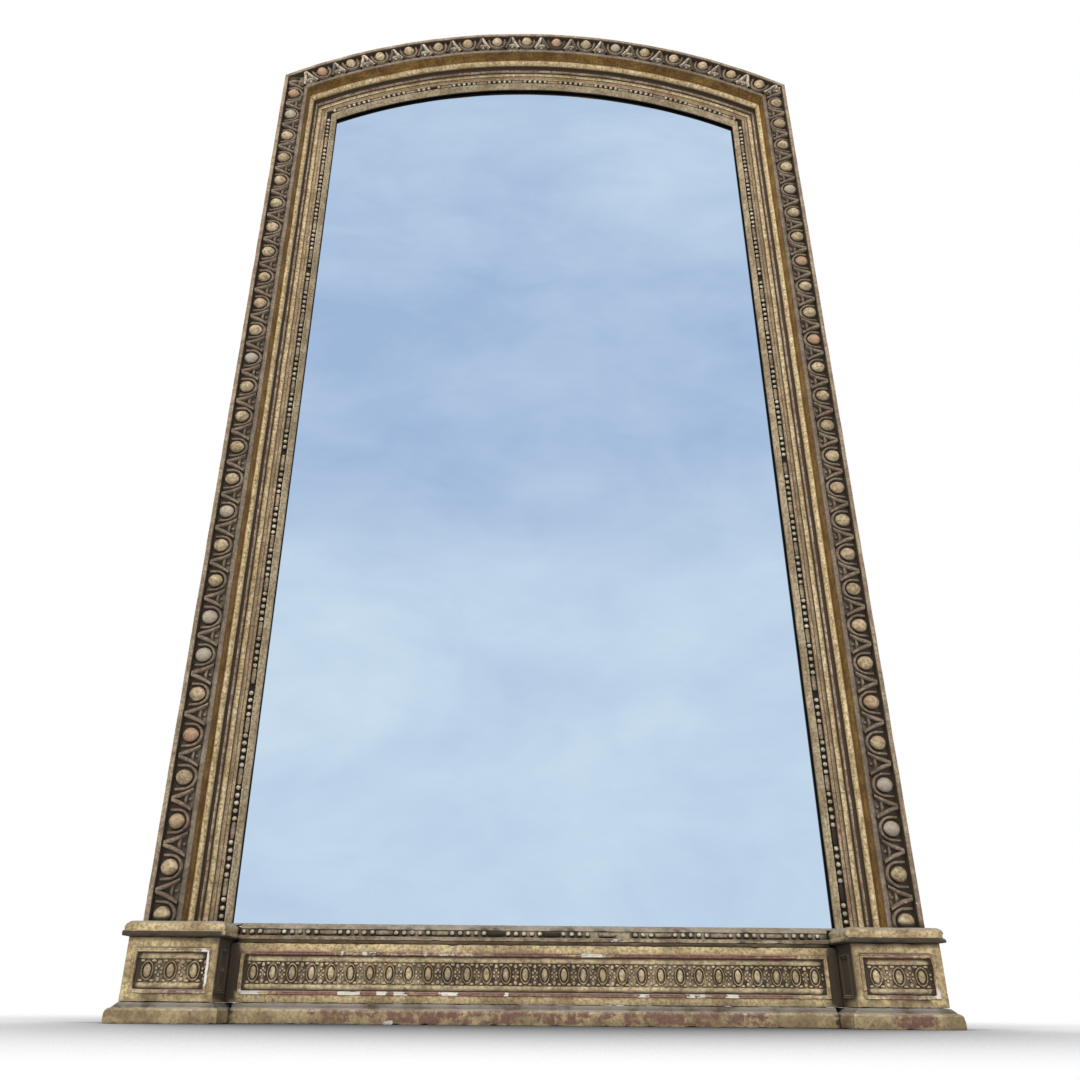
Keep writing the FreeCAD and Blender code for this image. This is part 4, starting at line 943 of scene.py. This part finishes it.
# the length that long faces are cut to, so that wear can follow them
WEAR_CELL = 0.008
BASE_PROFILE = [
    (0, 0.8), (0.8, 0.1), (3, 0), (8, 0), (11.5, 0.2), (14, 0.9), (16, 2.2), (17.2, 4.2), (17.6, 5.6),
    (18.6, 6.4), (20, 7.6), (21.6, 9.4), (22.6, 10.6), (23, 11),
]
CAP_PROFILE = [
    (95, 6.0), (95.2, 1.2), (96, 0.2), (98.5, 0), (101, 0.2), (101.7, 1.0), (102.2, 2.0), (104, 1.6),
    (106.5, 1.8), (109, 2.8), (111, 4.4), (112.4, 6.4), (113, 8.6),
]


def make_mouldings():
    spans = (
        ("left_pedestal_base", -0.509, -0.3755, -0.0555, BASE_PROFILE, True),
        ("right_pedestal_base", 0.3755, 0.509, -0.0555, BASE_PROFILE, True),
        ("plinth_base", -0.3755, 0.3755, -0.0025, BASE_PROFILE, False),
        ("left_pedestal_cap", -0.505, -0.3795, -0.0515, CAP_PROFILE, True),
        ("right_pedestal_cap", 0.3795, 0.505, -0.0515, CAP_PROFILE, True),
    )
    for name, x0, x1, y0, profile, draw_in in spans:
        bm = moulded_block(x0, x1, y0, profile, draw_in)
        cross_cuts(bm, 0, 0.006)
        cross_cuts(bm, 1, 0.009)
        bmesh.ops.triangulate(bm, faces=[face for face in bm.faces if len(face.verts) > 4])
        chip_edges(bm, 0.0009, 0.0016)
        for vert in bm.verts:
            vert.co.z = max(vert.co.z, 0.0)
        piece(name + "_moulded", bm, ["base gold"], (name,), 40.0)


def sharpness(vert):
    """The greatest angle by which an edge at the vertex stands out, or 0."""
    edges = [edge for edge in vert.link_edges if len(edge.link_faces) == 2]
    return max([edge.calc_face_angle_signed(0.0) for edge in edges] + [0.0])


def chip_edges(bm, amount, bite):
    """Wears the surface unevenly, and bites into edges that stick out."""
    bm.normal_update()
    moves = []
    for vert in bm.verts:
        wander = noise.noise(vert.co * 55.0)
        loss = noise.noise(vert.co * 130.0 + Vector((7, 3, 5)))
        depth = amount * 0.4 * wander
        if sharpness(vert) > 0.3:
            depth -= bite * max(loss - 0.12, 0.0) * 2.2 + amount * 0.25
        moves.append((vert, vert.normal * depth))
    for vert, move in moves:
        vert.co += move


def worn_copy(name, finish):
    """A copy of a CAD piece with softened, uneven edges."""
    bm = bmesh.new()
    bm.from_mesh(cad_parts[name].data)
    bmesh.ops.remove_doubles(bm, verts=bm.verts[:], dist=1e-5)
    bmesh.ops.dissolve_limit(bm, angle_limit=math.radians(1), verts=bm.verts[:], edges=bm.edges[:])
    inner = [edge for edge in bm.edges if len(edge.link_faces) == 2]
    sharp = [edge for edge in inner if edge.calc_face_angle(0.0) > math.radians(30)]
    bmesh.ops.bevel(
        bm, geom=sharp, offset=0.0009, offset_type="OFFSET", segments=2, profile=0.5, affect="EDGES",
        clamp_overlap=True, material=-1,
    )
    for axis in (0, 2):
        cross_cuts(bm, axis, WEAR_CELL)
    bmesh.ops.triangulate(bm, faces=[face for face in bm.faces if len(face.verts) > 4])
    chip_edges(bm, 0.0006, 0.0011)
    piece(name + "_worn", bm, [finish], (name,), 40.0)


# distance in from the outer edge of the panel moulding and height above the dado, in mm
PANEL_SECTION = [
    (0, -0.5), (0.1, 1.2), (0.8, 2.0), (1.7, 1.9), (2.1, 1.0), (2.6, 1.2), (3.6, 1.7), (4.5, 0.9),
    (5.0, -0.6), (5.0, -4.6),
]
PANEL_LOW, PANEL_HIGH = 0.032, 0.0825


def framed_moulding(x0, x1):
    """A mitred frame of panel moulding, standing out along -Y from 0."""
    z0, z1 = PANEL_LOW, PANEL_HIGH
    bm = bmesh.new()
    outlines = []
    for inset, out in PANEL_SECTION:
        i = inset * MM
        corners = [(x0 + i, z0 + i), (x1 - i, z0 + i), (x1 - i, z1 - i), (x0 + i, z1 - i)]
        outlines.append([(x, -out * MM, z) for x, z in corners])
    bridged(bm, outlines)
    for axis in (0, 2):
        cross_cuts(bm, axis, WEAR_CELL)
    return bm


def make_panels():
    fronts = (
        ("left_panel_moulding", -0.489, -0.3955, -0.0445), ("right_panel_moulding", 0.3955, 0.489, -0.0445),
        ("plinth_panel_moulding", -0.3725, 0.3725, 0.0085),
    )
    for name, x0, x1, face in fronts:
        bm = framed_moulding(x0, x1)
        move(bm, (0, face, 0))
        chip_edges(bm, 0.0005, 0.0011)
        piece(name + "_framed", bm, ["panel gold"], (name,), 50.0)
    for name, hand in (("left_return_panel_moulding", -1), ("right_return_panel_moulding", 1)):
        bm = framed_moulding(-0.0355, -0.0005)
        turn = Matrix.Rotation(math.radians(90 * -hand), 3, "Z")
        for vert in bm.verts:
            x, out, z = vert.co.x, -vert.co.y, vert.co.z
            vert.co = (hand * (0.3865 - out), x, z)
        chip_edges(bm, 0.0005, 0.0010)
        piece(name + "_framed", bm, ["panel gold"], (name,), 50.0)


FRIEZE_UNIT = 24.5
FRIEZE_TONES = (0.5, 0.5, 0.5, 0.35, 0.62)


def frieze_pattern():
    """An oval in its ring, and half of the little flower at each side of it, in mm about its middle."""
    bm = bmesh.new()
    ring = [(0.86, -0.6), (0.90, 0.7), (0.97, 0.9), (1.04, 0.5), (1.08, -0.6)]
    wire = open_wire(bm, [(r, 0, h) for r, h in ring])
    sweep_round(bm, wire, (0, 0, 1), math.tau, 20, use_merge=True)
    bmesh.ops.scale(bm, verts=bm.verts[:], vec=(6.4, 10.6, 1.5))
    dome(bm, (0, 0, 0), (4.0, 7.8, 2.0), 12, 8)
    for x in (-6.0, 6.0):
        for y in (11.0, -11.0):
            dome(bm, (x, y, -0.2), (3.0, 1.8, 1.3), 8, 5)
    for petal in range(6):
        turn = math.radians(30 + 60 * petal)
        at = (FRIEZE_UNIT / 2 + 3.0 * math.cos(turn), 4.6 * math.sin(turn), 0)
        dome(bm, at, (1.7, 2.0, 1.3), 7, 5)
    for tip in (-1, 1):
        dome(bm, (FRIEZE_UNIT / 2, tip * 9.4, 0), (2.4, 2.9, 1.2), 8, 5)
    return pattern_mesh(bm, "frieze unit")


def make_friezes():
    unit = frieze_pattern()
    places = (
        ("left_frieze", -0.484, -0.4005, -0.0395, 3), ("right_frieze", 0.4005, 0.484, -0.0395, 3),
        ("plinth_frieze", -0.3675, 0.3675, 0.0135, 30),
    )
    for name, x0, x1, back, count in places:
        bm = bmesh.new()
        tone_layer(bm)
        pitch = (x1 - x0) / count
        widened = Matrix.Diagonal((pitch / MM / FRIEZE_UNIT, 1.0, 1.0, 1.0))
        for i in range(count):
            at = Matrix.Translation(((i + 0.5) * pitch / MM, 0, dice.uniform(-0.2, 0.3)))
            stamp(bm, unit, at @ widened, dice.choice(FRIEZE_TONES))
        for vert in bm.verts:
            x, y, out = vert.co
            vert.co = (x0 + x * MM, back - (2.1 + out) * MM, 0.05725 + y * MM)
        saw(bm, (x1 - 0.0005, 0, 0), (1, 0, 0))
        hand_made(bm, 0.0003, 150.0)
        piece(name + "_ornament", bm, ["frieze"], (name,), 60.0)
        bm = bmesh.new()
        section = [
            (0.037, 0), (0.037, 2.6), (0.0376, 3.1), (0.0432, 3.1), (0.0440, 2.7), (0.0443, 1.6),
            (0.0450, 1.3), (0.057, 1.3), (0.0695, 1.3), (0.0702, 1.6), (0.0705, 2.7), (0.0713, 3.1),
            (0.0769, 3.1), (0.0775, 2.6), (0.0775, 0),
        ]
        wire = closed_wire(bm, [(x0, back - out * MM, z) for z, out in section])
        sweep_straight(bm, wire, (1, 0, 0), x1 - x0, int((x1 - x0) / 0.006))
        for face in bm.faces:
            face.material_index = 0.0441 < face.calc_center_median().z < 0.0704
        shut(bm)
        hand_made(bm, 0.00025, 60.0)
        piece(name + "_ground", bm, ["frieze", "frieze bed"], (), 50.0)
    bpy.data.meshes.remove(unit)


# ---- back ----


BOARDS = 6
NAIL_X = 0.418
NAIL_INSET = 0.04


def make_nails():
    """Old nails through the ends of the backboards."""
    bm = bmesh.new()
    tone_layer(bm)
    for number in range(BOARDS):
        low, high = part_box("backboard_%d" % (number + 1))
        heights = [low.z + NAIL_INSET, (low.z + high.z) / 2, high.z - NAIL_INSET]
        if number == BOARDS - 1:
            heights = [low.z + NAIL_INSET, low.z + 0.12]
        for x in (-NAIL_X, NAIL_X):
            for z in heights:
                sway, rise = dice.uniform(-0.003, 0.003), dice.uniform(-0.008, 0.008)
                made = bmesh.ops.create_cone(
                    bm, cap_ends=True, segments=12, radius1=0.0034, radius2=0.0026, depth=0.0012)["verts"]
                rotate(bm, "X", math.radians(-90), made)
                move(bm, (x + sway, BACK_Y - 0.0006, z + rise), made)
    piece("backboard_nails", bm, ["nails"], (), 40.0)


def dress_cad_nodes():
    """Finishes for the CAD pieces that stay as they are."""
    kept = {"mirror_glass": "plate", "glass_blocks": "block wood", "stile_tenons": "block wood",
            "left_mitre_key": "block wood", "right_mitre_key": "block wood"}
    kept.update({"backboard_%d" % (i + 1): "back boards" for i in range(BOARDS)})
    for name, finish in kept.items():
        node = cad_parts[name]
        node.data.materials.clear()
        node.data.materials.append(FINISH[finish])


# ---- wear, dust and painted shade that lie where the photograph has them ----

# (x from, x to, z from, z to, front of this y, how much), in mm
RUBBED = [
    (-285, 305, 1, 16, 10, 0.62), (413, 490, 1, 16, -40, 0.75), (-376, -300, 2, 14, 10, 0.15),
    (-420, -385, 2, 14, -40, 0.45), (-504, -385, 95, 101.5, -30, 0.35), (385, 504, 95, 101.5, -30, 0.35),
    (-364, -250, 77, 82.5, 10, 1.2), (-248, -75, 77, 82.5, 10, 0.3), (-73, 56, 77, 82.5, 10, 1.0),
    (88, 340, 77, 82.5, 10, 0.9), (-340, 330, 32, 37.5, 10, 0.8), (-480, -405, 32, 37, -40, 0.5),
    (400, 480, 33, 37, -40, 0.6), (400, 480, 77, 82, -40, 0.5),
]
BARE = [
    (-401, -395, 38, 80, -40, 1.2), (-410, -399, 77, 83, -40, 1.0), (-371, -340, 32, 37.5, 10, 1.1),
    (-250, -216, 32, 37.5, 10, 1.1), (-201, -186, 32, 37.5, 10, 1.1), (-179, -163, 32, 37.5, 10, 1.1),
    (-119, -93, 32, 37.5, 10, 0.9), (-44, -31, 32, 37.5, 10, 0.9), (31, 44, 32, 37.5, 10, 0.7),
    (125, 144, 32, 37.5, 10, 0.9), (188, 216, 32, 37.5, 10, 0.9), (235, 261, 32, 37.5, 10, 0.9),
    (-248, -75, 77, 82.5, 10, 0.5), (56, 88, 77, 82.5, 10, 0.8), (478, 489, 32, 42, -40, 1.0),
    (-186, -172, 0, 6, 10, 1.0), (73, 144, 91, 100, 40, 0.6),
]
# dark: dust on the dished tops, and painted shade on the base front, the cap fillets and the recess beside
# each pedestal
DUST_AND_SHADE = [
    (-520, 520, 17.2, 23.5, 200, 0.7), (-520, 520, -5, 14.5, 200, 0.34),
    (-520, -380, 94.5, 101.5, 200, 0.6), (380, 520, 94.5, 101.5, 200, 0.6),
    (-388, -373, 24, 97, 200, 0.72), (373, 388, 24, 97, 200, 0.72),
]


# how far behind its front a spot reaches, in mm
WEAR_DEPTH = 8
# the rays that look for neighbours round a vertex, and how far they go, in metres; the more of them hit, the
# more painted shade
RAYS = 14
REACH = 0.022


def wear_amount(spots, place, fade):
    """0 outside the spots, rising to a spot's amount over that many millimetres at its ends."""
    x, y, z = place.x / MM, place.y / MM, place.z / MM
    total = 0.0
    for x0, x1, z0, z1, front, amount in spots:
        if y < front + WEAR_DEPTH and x0 < x < x1 and z0 < z < z1:
            ease = min((x - x0) / fade, (x1 - x) / fade, 1.0)
            total = max(total, amount * ease)
    return total


def ray_fan(count):
    """Directions spread over a half ball about +Z, close to even in cosine."""
    fan = []
    for i in range(count):
        rise = math.sqrt(1.0 - (i + 0.5) / count)
        turn = i * 2.39996
        flat = math.sqrt(1.0 - rise * rise)
        fan.append(Vector((flat * math.cos(turn), flat * math.sin(turn), rise)))
    return fan


def section_tree():
    """Finds the section's corner next to a place, and how far round the section it comes."""
    tree = kdtree.KDTree(len(SECTION))
    way = [0.0]
    for number, (inwards, depth, shade_and_dirt) in enumerate(SECTION):
        tree.insert((inwards, depth, 0), number)
        before = SECTION[number - 1] if number else SECTION[0]
        way.append(way[-1] + math.hypot(inwards - before[0], depth - before[1]))
    tree.balance()
    return tree, way


def toned(toning, place, hand):
    """The painted shade and soiling of the hollow, the way round the section and the way along the run, in
    mm.
    """
    tree, way = toning
    inwards, run = across_and_along(place, hand)
    number = tree.find((inwards, (place.y - LIP_Y) / MM, 0))[1]
    return SECTION[number][2], way[number + 1], run


def weather():
    """Paints on each vertex how far it is hidden among its neighbours, as painted shade mixed with soiling,
    how sharp it is, and the wear.
    """
    verts, polys = [], []
    shown = pieces + [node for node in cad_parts.values() if not node.hide_render]
    for thing in shown:
        offset = len(verts)
        verts.extend(vert.co.copy() for vert in thing.data.vertices)
        polys.extend([offset + i for i in poly.vertices] for poly in thing.data.polygons)
    tree = BVHTree.FromPolygons(verts, polys)
    fan = ray_fan(RAYS)
    toning = section_tree()
    for thing in pieces:
        mesh = thing.data
        bm = bmesh.new()
        bm.from_mesh(mesh)
        bm.normal_update()
        painted = {name: [] for name in ("grime", "edge", "rubbed", "bare", "across", "along")}
        for vert in bm.verts:
            normal = vert.normal
            start = vert.co + normal * 0.0004
            turn = normal.to_track_quat("Z", "Y")
            hidden = 0.0
            for ray in fan:
                hit = tree.ray_cast(start, turn @ ray, REACH)
                if hit[0] is not None:
                    hidden += 1.0 - 0.6 * hit[3] / REACH
            # the hollows darken more towards the bottom and towards the right
            darker_low_and_right = 1.08 - 0.16 * vert.co.z / CORNER + 0.07 * vert.co.x / HALF
            shade_and_dirt, over, run = 0.0, 0.0, 0.0
            if thing in mouldings:
                shade_and_dirt, over, run = toned(toning, vert.co, mouldings[thing])
            # painted shade: the share of rays that hit, and the section's toning, darken the hollows
            hollow_shade_and_dirt = max(hidden / len(fan), shade_and_dirt) * darker_low_and_right
            painted["grime"].append(max(hollow_shade_and_dirt, wear_amount(DUST_AND_SHADE, vert.co, 1.0)))
            painted["edge"].append(min(sharpness(vert) / 0.9, 1.0))
            painted["rubbed"].append(wear_amount(RUBBED, vert.co, 22.0))
            painted["bare"].append(wear_amount(BARE, vert.co, 3.0))
            painted["across"].append(over)
            painted["along"].append(run)
        bm.free()
        if "tone" not in mesh.attributes:
            painted["tone"] = [0.5] * len(mesh.vertices)
        for name, values in painted.items():
            mesh.attributes.new(name, "FLOAT", "POINT").data.foreach_set("value", values)


# ---- floor, light and camera ----


def background_rays(shop):
    """1 for the rays that show the background as it is."""
    path = shop.add("ShaderNodeLightPath").outputs
    seen = shop.maths("MAXIMUM", path["Is Camera Ray"], path["Is Glossy Ray"])
    return shop.maths("MAXIMUM", seen, path["Is Transmission Ray"])


def make_floor():
    mesh = bpy.data.meshes.new("floor")
    bm = bmesh.new()
    bmesh.ops.create_grid(bm, x_segments=2, y_segments=2, size=30.0)
    bm.to_mesh(mesh)
    bm.free()
    floor = add_object("floor", mesh)
    material = bpy.data.materials.new("pale floor")
    material.use_nodes = True
    shop = Shop(material.node_tree)
    material.node_tree.nodes.remove(material.node_tree.nodes["Principled BSDF"])
    out = material.node_tree.nodes["Material Output"]
    matt = shop.add("ShaderNodeBsdfDiffuse", {"Color": (0.80, 0.80, 0.80)})
    # painted shadow: camera and glossy rays see the floor glow white, darker near the object by ambient
    # occlusion
    under = shop.add("ShaderNodeAmbientOcclusion", {"Distance": 0.85}, samples=8)
    shade = shop.maths("POWER", under.outputs["AO"], 3.2)
    glow = shop.add("ShaderNodeEmission", {"Color": (1.0, 1.0, 1.0)})
    shop.feed(glow.inputs["Strength"], shade)
    both = shop.add("ShaderNodeMixShader")
    shop.feed(both.inputs[0], background_rays(shop))
    shop.feed(both.inputs[1], matt.outputs[0])
    shop.feed(both.inputs[2], glow.outputs[0])
    shop.feed(out.inputs["Surface"], both.outputs[0])
    mesh.materials.append(material)


def make_world():
    world = bpy.data.worlds.new("studio")
    world.use_nodes = True
    bpy.context.scene.world = world
    shop = Shop(world.node_tree)
    background = world.node_tree.nodes["Background"]
    background.inputs["Color"].default_value = (1.0, 1.0, 1.0, 1.0)
    shown = background_rays(shop)
    shop.feed(background.inputs["Strength"], shop.plus(0.50, shop.times(shown, 0.50)))


def make_lamp(name, place, aim, size, watts):
    lamp = bpy.data.lights.new(name, "AREA")
    lamp.shape = "DISK"
    lamp.size = size
    lamp.energy = watts
    thing = add_object(name, lamp)
    thing.location = place
    thing.rotation_euler = (Vector(aim) - Vector(place)).to_track_quat("-Z", "Y").to_euler()
    thing.visible_glossy = False


# the camera fitted to the photograph, in its pixels
PHOTO = 1080.0
FOCAL = 950.0
MIDDLE_SHIFT = 20.78


def make_camera():
    camera = bpy.data.cameras.new("camera")
    camera.sensor_fit = "HORIZONTAL"
    camera.sensor_width = 36.0
    camera.lens = FOCAL / PHOTO * camera.sensor_width
    camera.shift_x = MIDDLE_SHIFT / PHOTO
    camera.clip_start = 0.01
    camera.clip_end = 200.0
    thing = add_object("camera", camera)
    pitch, yaw, roll = 0.45356, 0.013197, 0.0083369
    forward = Vector((math.sin(yaw) * math.cos(pitch), math.cos(yaw) * math.cos(pitch), math.sin(pitch)))
    right = Vector((math.cos(yaw), -math.sin(yaw), 0.0))
    up = right.cross(forward)
    level_right = right * math.cos(roll) + up * math.sin(roll)
    level_up = up * math.cos(roll) - right * math.sin(roll)
    turn = Matrix((level_right, level_up, -forward)).transposed()
    thing.matrix_world = Matrix.Translation((-0.04186, -1.30811, 0.02507)) @ turn.to_4x4()
    bpy.context.scene.camera = thing


make_stile("left_stile", 1)
make_stile("right_stile", -1)
make_arch()
make_egg_runs()
make_bead_runs()
make_mouldings()
for name in ("left_pedestal", "right_pedestal", "plinth"):
    worn_copy(name, "base gold")
worn_copy("bottom_rail", "rail gold")
make_panels()
make_friezes()
make_nails()
dress_cad_nodes()
weather()
make_floor()
make_world()
make_lamp("high soft light", (-1.2, -2.6, 3.4), (0, 0, 0.9), 1.8, 150.0)
make_lamp("low front light", (0.6, -3.2, 0.7), (0, 0, 1.1), 2.4, 55.0)
make_camera()

bpy.context.scene.view_settings.view_transform = "Standard"
